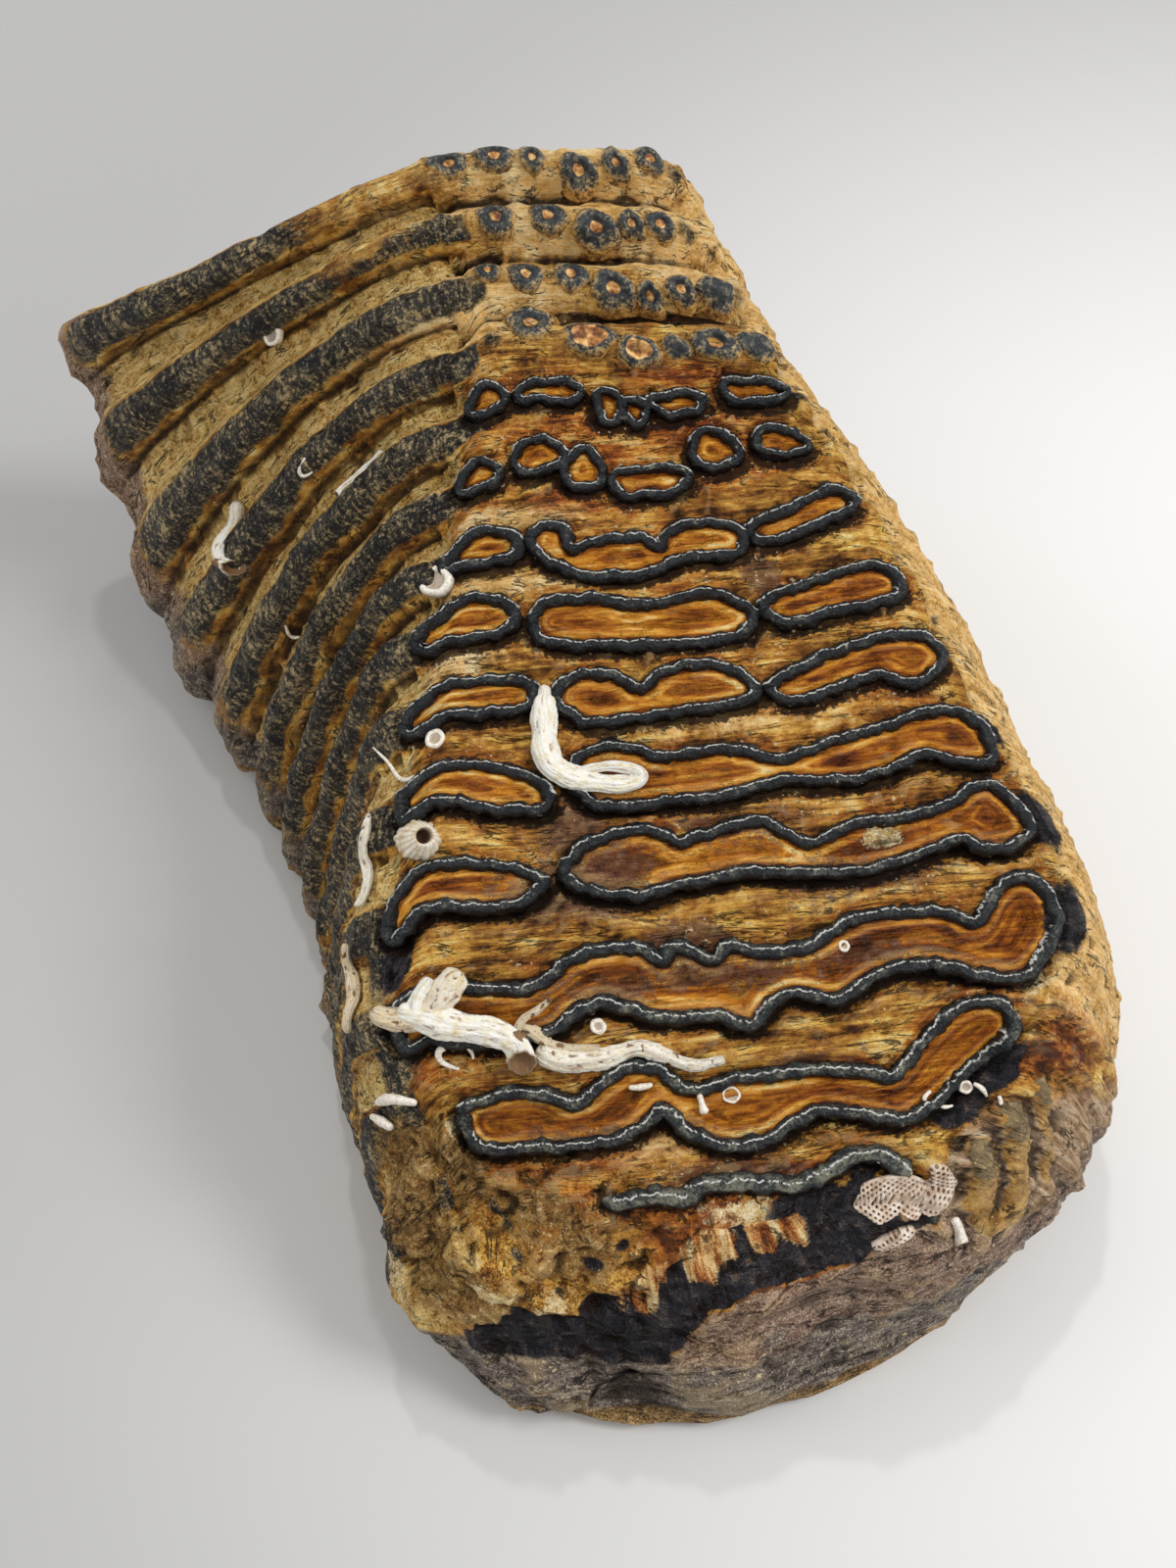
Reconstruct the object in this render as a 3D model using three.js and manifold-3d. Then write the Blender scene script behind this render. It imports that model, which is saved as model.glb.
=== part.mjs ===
// Fossil mammoth molar lying on its root base, with the worm tubes, barnacle and bryozoan crust that
// grew on it.
// Millimetres, +Z up. The origin is under the middle of the tooth's box, on the surface that it lies
// on.
// The front of the tooth faces -Y and the crown's unworn back end faces +Y.
//
// The tooth grew as one stack of upright enamel plates, so every place on it is given by:
//   plate   the plate's number, counted from the worn front (0) to the unworn back (13)
//   across  from the left edge of the chewing surface (-1) to its right edge (1)
//   up      from the root base (-1) to the chewing surface (1)
import * as THREE from 'three';
import { mergeVertices } from 'three/addons/utils/BufferGeometryUtils.js';
import Module from 'manifold-3d';

// ---------------------------------------------------------------- driving dimensions

const FIRST_PLATE = -0.7;       // where the front face stands, just before plate 0
const STATION_STEP = 2.82;      // plates between two stations of a rail
const LAST_PLATE = 13.4;        // where the back face stands, just after plate 13
const WORN_CORNER = 12;         // sharp corners of the worn front: 2 would give an oval section
const CROWN_CORNER = 5;         // rounder corners of the unworn back

// Six rails run the length of the tooth. Each is [x, y, z] at six stations, front to back.
const RAILS = {
  topLeft: [[-14.5, -70, 33], [-23.5, -43, 48], [-20, -8, 59], [-15, 18.5, 67], [-12.5, 44, 76],
    [-16, 67, 85]],
  midLeft: [[-20.5, -73.5, 16], [-28.5, -40, 24], [-28.5, -10.5, 32], [-34, 14, 41], [-40.5, 41.5, 55],
    [-50, 62, 69]],
  lowLeft: [[-9, -79, 0], [-30, -44, -2], [-36.5, -18, -2], [-48, 6, -1], [-73, 41, 5], [-91, 79, 38]],
  topRight: [[47, -64.5, 37], [66.5, -33.5, 50], [53.5, -2, 60], [40, 25, 67], [27, 43.5, 76],
    [17, 66.5, 84.5]],
  midRight: [[65, -64, 20], [77, -37, 26], [67, -7, 34], [54.5, 21, 40], [37, 44, 47], [20, 68, 58]],
  lowRight: [[61, -65, -1], [77.5, -42, -4], [70, -12, -4], [54, 16, -1], [34, 42, 6], [6, 72, 26]],
};

const FRONT_SWELL = 15;         // how far the root swells forward at the foot of the front face
const FRONT_SWELL_REACH = 1.2;  // plates over which that swelling dies away
const NOSE_SHRINK = 0.14;       // how much the section draws in at the two end faces
const FRONT_ROUND = 0.9;        // plates over which the front edge rounds off
const BACK_ROUND = 0.55;        // plates over which the back edge rounds off
const FRONT_DOME = 0.3;         // plates by which the middle of the front face stands out
const BACK_DOME = 0.75;         // plates by which the middle of the back face stands out

const RIDGE_HEIGHT = 4.2;       // plate edges above the cementum valleys on the flanks
const RIDGE_HALF_WIDTH = 0.3;   // of one plate spacing
const RIDGE_LEAD = 0.28;        // plates by which a worn plate bends forward as it turns down the flank
const CROWN_RIDGE = 2.2;        // plate rows above the valleys between them on the unworn back of the crown
const COLUMN_HEIGHT = 1.5;      // upright columns on the front right corner
const COLUMN_STEP = 0.42;       // plates from one column to the next
const LUMP = 0.55;              // coarse unevenness all over
const BASE_RIDGE = 1.8;         // plate edges across the underside, where it lifts off the ground
const FACE_COLUMN = 1.2;        // upright columns of the two end faces
const FACE_COLUMN_STEP = 0.8;   // of the half width, from one of those columns to the next
const FRONT_LEDGE = 2.0;        // broken enamel standing out over the root on the front face

const RIBBON_WIDTH = 2.3;       // enamel ribbon, across
const RIBBON_HEIGHT = 1.0;      // enamel ribbon, proud of the worn surface
const RIBBON_ROOT = 0.7;        // how far the ribbon's solid goes down into the tooth
const KNOB_HEIGHT = 1.2;        // the little enamel-ringed knobs of the hardly worn back rows

const SEAT_GAP = 0.3;           // what grew on the tooth stays this clear of it

// Ranges over which a feature comes in, each from nothing to full.
const CORNER_PLATES = [8, 13];      // plates over which the section's corners change from worn to unworn
const FLANK_ACROSS = [0.86, 1];     // the flank's share of the section, where plate ridges stand out
const FLANK_UP = [-1.3, -0.5];      // ridges fade out towards the root base
const FLANK_PLATES = [3.5, 7];      // ridges are low on the worn front plates
const WORN_RIDGE_SHARE = 0.35;      // of full height, on those front plates
const RIGHT_RIDGE_SHARE = 0.35;     // of full height, on the cementum-covered right flank
const BEND_ACROSS = [0.8, 1];       // plates bend forward only near the left edge
const UNBENT_PLATES = [10.3, 12];   // and no longer on the unworn back plates
const CROWN_PLATES = [9, 11.5];     // unworn plates stand up in rows across the crown
const CROWN_UP = [0.9, 1];
const COLUMN_PLATES = [1, 1.8];     // the front right columns end behind plate 1
const COLUMN_ACROSS = [0.9, 1];
const COLUMN_UP = [-0.7, 0];
const BASE_PLATES = [6, 8];
const BASE_DOWN = [0.9, 1];
const LEDGE_UP = [0.12, 0.42];      // the ledge crosses the front face here
const LUMP_WAVES = [6.1, 9, 7.3, 5.2]; // mm, in x and z, then in y and z

// Facets of the body: how many steps each side of the section has, in the order top, right, base, left.
const SIDE_STEPS = [6, 5, 3, 8];
const PLATE_STEPS = [-0.2, 0.2, 0.5];             // sections cut through each plate
const CAP_STEPS = 5;                              // rings on each end face

const COLOURS = {
  tooth: 0x8a5a2c,
  wormTube: 0xe9e4d6,
  barnacle: 0xe2dccb,
  bryozoan: 0xcfc6c0,
};

// ---------------------------------------------------------------- enamel outlines, [across, plate]

// Long loops of the worn front plates. Each is a closed line along the middle of the enamel.
const LONG_LOOPS = [
  // plate 1
  [[-0.77, 0.6], [-0.7, 0.72], [-0.52, 0.75], [-0.41, 0.61], [-0.33, 0.78], [-0.24, 0.93], [-0.15, 0.88],
    [-0.07, 0.65],
    [0.09, 0.69], [0.34, 0.7], [0.62, 0.55], [0.67, 0.82], [0.73, 1.15], [0.81, 1.26], [0.91, 1.12],
    [0.97, 0.85],
    [0.9, 0.6], [0.83, 0.2], [0.75, 0.03], [0.6, 0.14], [0.42, 0.23], [0.3, 0.02], [0.16, -0.05],
    [0.04, 0.05],
    [-0.06, 0.26], [-0.12, 0.42], [-0.18, 0.28], [-0.3, 0.14], [-0.58, 0.12], [-0.73, 0.14]],
  // plate 2
  [[-0.93, 2.0], [-0.82, 2.04], [-0.69, 1.99], [-0.56, 1.93], [-0.41, 2.19], [-0.27, 2.25], [-0.16, 2.06],
    [-0.12, 2.19],
    [-0.02, 2.02], [0.04, 2.14], [0.14, 2.03], [0.27, 2.06], [0.42, 2.3], [0.62, 2.28], [0.73, 2.12],
    [0.79, 2.42],
    [0.86, 2.55], [0.94, 2.4], [0.97, 2.05], [0.93, 1.68], [0.88, 1.48], [0.77, 1.53], [0.66, 1.68],
    [0.5, 1.7],
    [0.35, 1.45], [0.22, 1.57], [0.11, 1.27], [-0.1, 1.43], [-0.33, 1.68], [-0.45, 1.48], [-0.58, 1.38],
    [-0.76, 1.42], [-0.91, 1.46]],
  // plate 3, left and right
  [[-0.95, 2.95], [-0.93, 3.15], [-0.82, 3.24], [-0.68, 3.2], [-0.54, 3.09], [-0.49, 2.95], [-0.55, 2.79],
    [-0.7, 2.8],
    [-0.85, 2.82]],
  [[-0.42, 3.03], [-0.39, 3.2], [-0.3, 3.36], [-0.16, 3.38], [-0.08, 3.24], [0.14, 3.36], [0.22, 3.22],
    [0.28, 3.1],
    [0.42, 3.22], [0.7, 3.35], [0.82, 3.53], [0.9, 3.48], [0.94, 3.2], [0.92, 2.98], [0.8, 2.88],
    [0.7, 3.0],
    [0.55, 2.85], [0.4, 2.78], [0.1, 2.88], [-0.1, 2.82], [-0.22, 2.75], [-0.34, 2.84]],
  // plate 4, left and right
  [[-0.95, 4.05], [-0.92, 4.18], [-0.75, 4.2], [-0.57, 4.08], [-0.48, 3.9], [-0.49, 3.68], [-0.64, 3.7],
    [-0.78, 3.83],
    [-0.94, 3.9]],
  [[-0.4, 3.95], [-0.36, 4.18], [-0.27, 4.27], [-0.1, 4.1], [0.09, 4.15], [0.26, 3.98], [0.5, 4.14],
    [0.75, 4.33],
    [0.91, 4.36], [0.97, 4.12], [0.93, 3.82], [0.82, 3.79], [0.71, 3.9], [0.55, 3.74], [0.4, 3.7],
    [0.26, 3.76],
    [0.06, 3.65], [-0.22, 3.65], [-0.34, 3.72]],
  // plate 5, left, middle and right
  [[-0.97, 4.94], [-0.91, 5.1], [-0.7, 5.12], [-0.56, 5.09], [-0.51, 4.92], [-0.55, 4.75], [-0.75, 4.74],
    [-0.93, 4.78]],
  [[-0.43, 4.86], [-0.39, 5.04], [-0.3, 5.1], [-0.21, 5.02], [-0.14, 4.86], [-0.07, 5.02], [0.03, 5.12],
    [0.16, 5.07],
    [0.26, 4.8], [0.18, 4.63], [-0.12, 4.56], [-0.3, 4.53], [-0.4, 4.68]],
  [[0.31, 4.78], [0.45, 5.0], [0.62, 5.18], [0.82, 5.3], [0.93, 5.23], [0.95, 5.02], [0.87, 4.78],
    [0.78, 4.71],
    [0.7, 4.83], [0.54, 4.71], [0.39, 4.6]],
  // plate 6, left, middle and right
  [[-0.97, 5.95], [-0.93, 6.18], [-0.78, 6.26], [-0.64, 6.16], [-0.59, 5.95], [-0.63, 5.74],
    [-0.78, 5.68], [-0.93, 5.78]],
  [[-0.52, 5.8], [-0.5, 6.0], [-0.44, 6.1], [-0.27, 6.06], [-0.08, 5.93], [0.08, 6.04], [0.18, 6.06],
    [0.28, 5.9],
    [0.32, 5.7], [0.25, 5.47], [0.05, 5.4], [-0.25, 5.43], [-0.46, 5.54]],
  [[0.37, 5.75], [0.43, 5.95], [0.58, 6.06], [0.8, 6.2], [0.91, 6.14], [0.92, 5.92], [0.84, 5.75],
    [0.6, 5.63],
    [0.44, 5.56]],
  // plate 7, left, middle with its hooked end, and right
  [[-0.92, 6.97], [-0.86, 7.15], [-0.74, 7.24], [-0.62, 7.1], [-0.6, 6.85], [-0.7, 6.75],
    [-0.88, 6.82]],
  [[-0.54, 7.05], [-0.49, 7.2], [-0.4, 7.12], [-0.37, 6.83], [-0.22, 6.9], [-0.06, 6.89], [0.01, 6.76],
    [0.07, 6.97],
    [0.2, 7.06], [0.34, 6.99], [0.38, 6.78], [0.32, 6.58], [0.12, 6.56], [-0.02, 6.42], [-0.15, 6.35],
    [-0.36, 6.47],
    [-0.5, 6.78]],
  [[0.42, 6.8], [0.46, 7.0], [0.62, 7.13], [0.84, 7.36], [0.92, 7.25], [0.89, 7.05], [0.7, 6.86],
    [0.5, 6.7]],
];

// The broken front plate keeps only the back run of its enamel.
const FRONT_PLATE = [[-0.27, -0.5], [-0.13, -0.49], [0.02, -0.52], [0.06, -0.44], [0.3, -0.47],
  [0.5, -0.52], [0.6, -0.38],
  [0.7, -0.32], [0.82, -0.43], [0.94, -0.58]];

// Rings of the hardly worn back plates: across, plate, half width, half length, turn in degrees.
const RINGS = [
  [-0.81, 8.08, 0.1, 0.2, 15], [-0.51, 8.27, 0.13, 0.26, 25], [-0.29, 8.02, 0.09, 0.3, -20],
  [0.02, 7.74, 0.18, 0.25, 5],
  [0.38, 8.14, 0.12, 0.3, 0], [0.72, 8.18, 0.13, 0.24, 10],
  [-0.8, 9.2, 0.1, 0.22, 0], [-0.44, 9.27, 0.18, 0.2, -12], [-0.11, 8.98, 0.07, 0.25, -8],
  [0.03, 8.87, 0.07, 0.2, 0],
  [0.27, 8.95, 0.15, 0.2, 15], [0.73, 9.12, 0.18, 0.26, 0],
];

// Knobs of the unworn plates: across, plate, half width, half length.
const KNOBS = [
  [-0.92, 10.0, 0.09, 0.25], [-0.52, 10.37, 0.14, 0.28], [-0.15, 10.1, 0.16, 0.28],
  [0.14, 9.85, 0.12, 0.26],
  [0.385, 9.9, 0.07, 0.2], [0.62, 9.95, 0.12, 0.28],
  [-0.98, 10.85, 0.08, 0.25], [-0.76, 11.18, 0.07, 0.18], [-0.5, 11.1, 0.1, 0.22],
  [-0.18, 11.1, 0.1, 0.26],
  [0.09, 10.86, 0.14, 0.3], [0.33, 10.75, 0.07, 0.22], [0.56, 10.85, 0.08, 0.22],
  [-1.0, 11.8, 0.08, 0.25], [-0.63, 12.04, 0.11, 0.3], [-0.24, 12.05, 0.11, 0.28],
  [0.1, 11.85, 0.17, 0.3],
  [0.37, 11.9, 0.07, 0.2], [0.56, 11.9, 0.08, 0.2],
  [-0.85, 13.02, 0.11, 0.24], [-0.53, 13.05, 0.14, 0.26], [-0.1, 12.95, 0.09, 0.22],
  [0.1, 12.8, 0.13, 0.28],
  [0.41, 12.9, 0.09, 0.26], [0.68, 13.0, 0.09, 0.24],
];

// Hollows (negative) and swellings (positive) of the broken front: across, up, plate, reach in mm,
// height in mm.
const DENTS = [
  { across: -0.85, up: 1, plate: -0.25, reach: 13, height: -5.5 },
  { across: -0.9, up: 0.2, plate: -0.5, reach: 11, height: -3 },
  { across: -0.5, up: 0.75, plate: -0.7, reach: 6, height: 2.5 },
  { across: -0.98, up: 0.05, plate: -0.7, reach: 6, height: 3 },
  { across: 0.15, up: 0.6, plate: -0.7, reach: 10, height: 1.5 },
  { across: 0.93, up: 1, plate: 0.3, reach: 6, height: -2.5 },
];

// ---------------------------------------------------------------- what grew on the tooth

// Worm tubes: each path point is [across, up, plate], with the tube's radius and how far its middle
// lifts off the tooth.
const TUBES = {
  hooked_worm_tube: {
    radius: 1.75,
    lift: 0.8,
    path: [[-0.47, 1, 4.8], [-0.48, 1, 4.52], [-0.47, 1, 4.25], [-0.42, 1, 4.02], [-0.35, 1, 3.87],
      [-0.26, 1, 3.81],
      [-0.18, 1, 3.86], [-0.17, 1, 4.0], [-0.23, 1, 4.06], [-0.3, 1, 4.05]],
    ends: [1, 0.55],
  },
  worm_tube_cluster: {
    radius: 2.2,
    lift: 1.2,
    path: [[-0.97, 1, 1.72], [-0.88, 1, 1.86], [-0.79, 1, 1.82], [-0.7, 1, 1.64], [-0.62, 1, 1.5],
      [-0.56, 1, 1.38],
      [-0.56, 1, 1.18]],
    ends: [0.9, 0.85],
    branches: [
      { radius: 1.7, path: [[-0.74, 1, 1.7], [-0.76, 1, 1.95], [-0.78, 1, 2.16]], ends: [1, 0.6] },
      { radius: 0.8, path: [[-0.6, 1, 1.5], [-0.55, 1, 1.62], [-0.5, 1, 1.78]], ends: [1, 0.7] },
    ],
  },
  long_worm_tube: {
    radius: 1.35,
    lift: 0.7,
    path: [[-0.47, 1, 1.22], [-0.4, 1, 1.1], [-0.31, 1, 1.05], [-0.22, 1, 1.12], [-0.14, 1, 1.02],
      [-0.06, 1, 0.9],
      [0.02, 1, 0.9]],
    ends: [1.3, 0.6],
  },
  flank_worm_tube: {
    radius: 0.95,
    lift: 1.1,
    path: [[-1, -0.28, 10.42], [-1, -0.34, 10.22], [-1, -0.36, 10.0], [-1, -0.32, 9.82]],
    ends: [0.9, 0.8],
  },
  thin_worm_tube: {
    radius: 0.65,
    lift: 1,
    path: [[-1, 0.53, 9.36], [-1, 0.46, 9.32], [-1, 0.4, 9.24], [-1, 0.37, 9.12]],
    ends: [1.2, 1],
  },
  edge_worm_tube_back: {
    radius: 0.95,
    lift: 0.7,
    path: [[-1, 0.9, 3.98], [-1, 0.86, 3.78], [-1, 0.86, 3.55], [-1, 0.82, 3.3]],
    ends: [0.7, 0.8],
  },
  edge_worm_tube_front: {
    radius: 1.1,
    lift: 0.7,
    path: [[-1, 0.76, 2.85], [-1, 0.72, 2.6], [-1, 0.74, 2.35], [-1, 0.72, 2.1]],
    ends: [0.7, 0.8],
  },
};
const TUBE_SIDES = 6;

const BARNACLE = { across: -0.88, up: 1, plate: 3.45, baseRadius: 2.7, mouthRadius: 1.1, height: 2.4, sides: 9 };

// The crust is a thin sheet over the front right corner: its reach in skin length and girth, and its
// thickness.
const CRUST = { length: [-0.3, 0.035], girth: [0.845, 0.995], thickness: 1.4, steps: 6 };

// ---------------------------------------------------------------- the tooth's shape

const clamp = (value, low, high) => Math.min(Math.max(value, low), high);
const smooth = ([low, high], value) => {
  const t = clamp((value - low) / (high - low), 0, 1);
  return t * t * (3 - 2 * t);
};

// A point of one rail: a Catmull-Rom curve through its stations, carried on straight past both ends.
function railPoint(rail, plate) {
  const last = rail.length - 1;
  const knot = (n) => new THREE.Vector3(...rail[n]);
  const station = (k) => {
    if (k < 0) return knot(0).multiplyScalar(2).sub(knot(1));
    if (k > last) return knot(last).multiplyScalar(2).sub(knot(last - 1));
    return knot(k);
  };
  const place = (plate - FIRST_PLATE) / STATION_STEP;
  const k = clamp(Math.floor(place), 0, last - 1);
  const t = place - k;
  const startSlope = station(k + 1).sub(station(k - 1)).multiplyScalar(0.5);
  const endSlope = station(k + 2).sub(station(k)).multiplyScalar(0.5);
  return station(k).multiplyScalar(2 * t ** 3 - 3 * t ** 2 + 1)
    .addScaledVector(startSlope, t ** 3 - 2 * t ** 2 + t)
    .addScaledVector(station(k + 1), 3 * t ** 2 - 2 * t ** 3)
    .addScaledVector(endSlope, t ** 3 - t ** 2);
}

// The plain body at (plate, across, up): a parabola down each flank, joined straight across.
function bodyPoint(plate, across, up) {
  const top = up * (up + 1) / 2;
  const middle = 1 - up * up;
  const low = up * (up - 1) / 2;
  const flank = (topRail, midRail, lowRail) => railPoint(RAILS[topRail], plate).multiplyScalar(top)
    .addScaledVector(railPoint(RAILS[midRail], plate), middle)
    .addScaledVector(railPoint(RAILS[lowRail], plate), low);
  const left = flank('topLeft', 'midLeft', 'lowLeft');
  const right = flank('topRight', 'midRight', 'lowRight');
  const point = left.multiplyScalar((1 - across) / 2).addScaledVector(right, (1 + across) / 2);
  const fade = Math.exp(-Math.max(plate - FIRST_PLATE, 0) / FRONT_SWELL_REACH);
  point.y -= FRONT_SWELL * fade * (1 - across * across) * (1 - up) / 2;
  return point;
}

// A place on the section's outline: [x, y] on a square becomes [across, up] on a square with rounded
// corners.
function roundSection(plate, x, y) {
  const power = WORN_CORNER + (CROWN_CORNER - WORN_CORNER) * smooth(CORNER_PLATES, plate);
  const edge = Math.min((plate - FIRST_PLATE) / FRONT_ROUND, (LAST_PLATE - plate) / BACK_ROUND);
  const rounding = Math.cbrt(1 - (1 - clamp(edge, 0, 1)) ** 3);
  const corner = (Math.abs(x) ** power + Math.abs(y) ** power) ** (1 / power);
  const scale = (1 - NOSE_SHRINK * (1 - rounding)) / corner;
  return [x * scale, y * scale];
}

// Plate edges bend forward as they turn down the left flank of the worn plates.
const bend = (x, plate) => RIDGE_LEAD * smooth(BEND_ACROSS, -x) * (1 - smooth(UNBENT_PLATES, plate));

// One place of the skin. length runs from -1 (middle of the front face) through 0 and 1 (the two rims)
// to 2 (middle of the back face). girth runs from 0 to 4, clockwise from the top left edge.
function skinPlace(length, girth) {
  const side = Math.floor(girth) % 4;
  const run = 2 * (girth - Math.floor(girth)) - 1;
  const [x, y] = [[run, 1], [1, -run], [-run, -1], [-1, run]][side];
  const radius = length < 0 ? 1 + length : length > 1 ? 2 - length : 1;
  const sectionPlate = FIRST_PLATE + (LAST_PLATE - FIRST_PLATE) * clamp(length, 0, 1);
  const [across, up] = roundSection(sectionPlate, x, y);
  const middle = (1 - (x * radius) ** 2) * (1 - (y * radius) ** 2);
  const dome = middle * (length < 0 ? -FRONT_DOME : BACK_DOME);
  const plate = sectionPlate + dome - bend(x, sectionPlate) * radius;
  return { sectionPlate, x, y, radius, point: bodyPoint(plate, across * radius, up * radius) };
}

const plateRidge = (plate) => Math.exp(-(((plate - Math.round(plate)) / RIDGE_HALF_WIDTH) ** 4));

// How far the finished surface stands off the plain body, in mm.
function relief({ sectionPlate, x, y, radius, point }) {
  const ridge = plateRidge(sectionPlate);
  const side = x < 0 ? 1 : RIGHT_RIDGE_SHARE;
  const flank = smooth(FLANK_ACROSS, Math.abs(x)) * smooth(FLANK_UP, y) * side;
  const wear = WORN_RIDGE_SHARE + (1 - WORN_RIDGE_SHARE) * smooth(FLANK_PLATES, sectionPlate);
  const crown = smooth(CROWN_PLATES, sectionPlate) * smooth(CROWN_UP, y);
  const corner = smooth(COLUMN_ACROSS, x) * smooth(COLUMN_UP, y) * (1 - smooth(COLUMN_PLATES, sectionPlate));
  const column = Math.abs(Math.cos(Math.PI * sectionPlate / COLUMN_STEP));
  const [waveX, waveZ, waveY, crossZ] = LUMP_WAVES;
  const lump = Math.sin(point.x / waveX + point.z / waveZ) * Math.sin(point.y / waveY - point.z / crossZ);
  const base = smooth(BASE_PLATES, sectionPlate) * smooth(BASE_DOWN, -y);
  const ridges = RIDGE_HEIGHT * (ridge - 0.5) * wear * flank + CROWN_RIDGE * (ridge - 0.6) * crown
    + BASE_RIDGE * (ridge - 0.6) * base + COLUMN_HEIGHT * column * corner;
  const faceColumn = FACE_COLUMN * Math.cos(2 * Math.PI * x * radius / FACE_COLUMN_STEP);
  const ledge = sectionPlate < 0 ? FRONT_LEDGE * smooth(LEDGE_UP, y * radius) : 0;
  let height = ridges * radius ** 2 + (faceColumn + ledge) * (1 - radius ** 6) + LUMP * lump;
  for (const dent of DENTS) {
    const far = point.distanceTo(dent.centre) / dent.reach;
    height += dent.height * Math.exp(-far * far);
  }
  return height;
}
for (const dent of DENTS) dent.centre = bodyPoint(dent.plate, dent.across, dent.up);

const STEP = 1e-3; // a short step along the skin, to measure its slope

// A point of the finished skin, standing extra mm further out, and never below the ground.
function skinPoint(length, girth, extra) {
  const place = skinPlace(length, girth);
  const g = clamp(girth % 1, 2 * STEP, 1 - 2 * STEP) + Math.floor(girth);
  const alongLength = skinPlace(length + STEP, g).point.sub(skinPlace(length - STEP, g).point);
  const alongGirth = skinPlace(length, g + STEP).point.sub(skinPlace(length, g - STEP).point);
  const outward = alongGirth.cross(alongLength).normalize();
  const point = place.point.clone().addScaledVector(outward, relief(place) + extra);
  point.z = Math.max(point.z, extra > 0 ? -extra : 0);
  return point;
}

// A point on the finished tooth by across, up and plate, with its outward direction.
function surfaceAt([across, up, plate], extra = 0) {
  const most = Math.max(Math.abs(across), Math.abs(up));
  const square = [across / most, up / most];
  const plain = (p, turn) => {
    const x = clamp(square[0] - turn * square[1], -1, 1);
    const y = clamp(square[1] + turn * square[0], -1, 1);
    const [a, u] = roundSection(p, x, y);
    return bodyPoint(p - bend(x, p), a, u);
  };
  const alongPlate = plain(plate + STEP, 0).sub(plain(plate - STEP, 0));
  const alongTurn = plain(plate, -STEP).sub(plain(plate, STEP));
  const outward = alongTurn.cross(alongPlate).normalize();
  const point = plain(plate, 0);
  const place = { sectionPlate: plate, x: square[0], y: square[1], radius: 1, point };
  return { point: point.clone().addScaledVector(outward, relief(place) + extra), outward };
}

// ---------------------------------------------------------------- closed meshes

// Rings of equally many points, joined into one closed body, with a fan at each end or joined round
// into a loop.
function loft(rings, closed = false) {
  const size = rings[0].length;
  const vertices = rings.flat();
  const triangles = [];
  const joins = closed ? rings.length : rings.length - 1;
  for (let i = 0; i < joins; i += 1) {
    for (let j = 0; j < size; j += 1) {
      const a = i * size + j;
      const b = i * size + (j + 1) % size;
      const c = ((i + 1) % rings.length) * size + (j + 1) % size;
      const d = ((i + 1) % rings.length) * size + j;
      triangles.push(a, b, c, a, c, d);
    }
  }
  const fan = (ring, flip) => {
    const middle = rings[ring].reduce((sum, p) => sum.add(p), new THREE.Vector3()).divideScalar(size);
    vertices.push(middle);
    for (let j = 0; j < size; j += 1) {
      const pair = [ring * size + j, ring * size + (j + 1) % size];
      triangles.push(vertices.length - 1, ...(flip ? pair : pair.reverse()));
    }
  };
  if (!closed) {
    fan(0, false);
    fan(rings.length - 1, true);
  }
  const geometry = new THREE.BufferGeometry();
  const numbers = vertices.flatMap((v) => v.toArray());
  geometry.setAttribute('position', new THREE.Float32BufferAttribute(numbers, 3));
  geometry.setIndex(triangles);
  return geometry;
}

const wasm = await Module();
wasm.setup();

// A closed mesh as a solid. One that was lofted the other way round is turned to face out.
function toSolid(geometry) {
  const merged = mergeVertices(geometry, 1e-4);
  const build = (triangles) => new wasm.Manifold(new wasm.Mesh({
    numProp: 3,
    vertProperties: new Float32Array(merged.attributes.position.array),
    triVerts: new Uint32Array(triangles),
  }));
  const solid = build(merged.index.array);
  return solid.volume() > 0 ? solid : build([...merged.index.array].reverse());
}

function toGeometry(solid) {
  const mesh = solid.getMesh();
  const geometry = new THREE.BufferGeometry();
  geometry.setAttribute('position', new THREE.Float32BufferAttribute(mesh.vertProperties, 3));
  geometry.setIndex([...mesh.triVerts]);
  return geometry;
}

// ---------------------------------------------------------------- the tooth

// The body: sections through every plate, with rings closing the two end faces.
function toothBody(extra) {
  const span = LAST_PLATE - FIRST_PLATE;
  const lengths = [];
  for (let k = 1; k < CAP_STEPS; k += 1) lengths.push(k / CAP_STEPS - 1);
  lengths.push(0, 0.004, 0.014);
  for (let plate = 0; plate <= 13; plate += 1) {
    for (const offset of PLATE_STEPS) {
      const length = (plate + offset - FIRST_PLATE) / span;
      if (length > 0.02 && length < 0.98) lengths.push(length);
    }
  }
  lengths.push(0.99, 0.997, 1);
  for (let k = 1; k < CAP_STEPS; k += 1) lengths.push(1 + k / CAP_STEPS);
  const girths = SIDE_STEPS.flatMap((steps, side) => (
    Array.from({ length: steps }, (_, k) => side + (1 - Math.cos(Math.PI * k / steps)) / 2)));
  return loft(lengths.map((length) => girths.map((girth) => skinPoint(length, girth, extra))));
}

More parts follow.
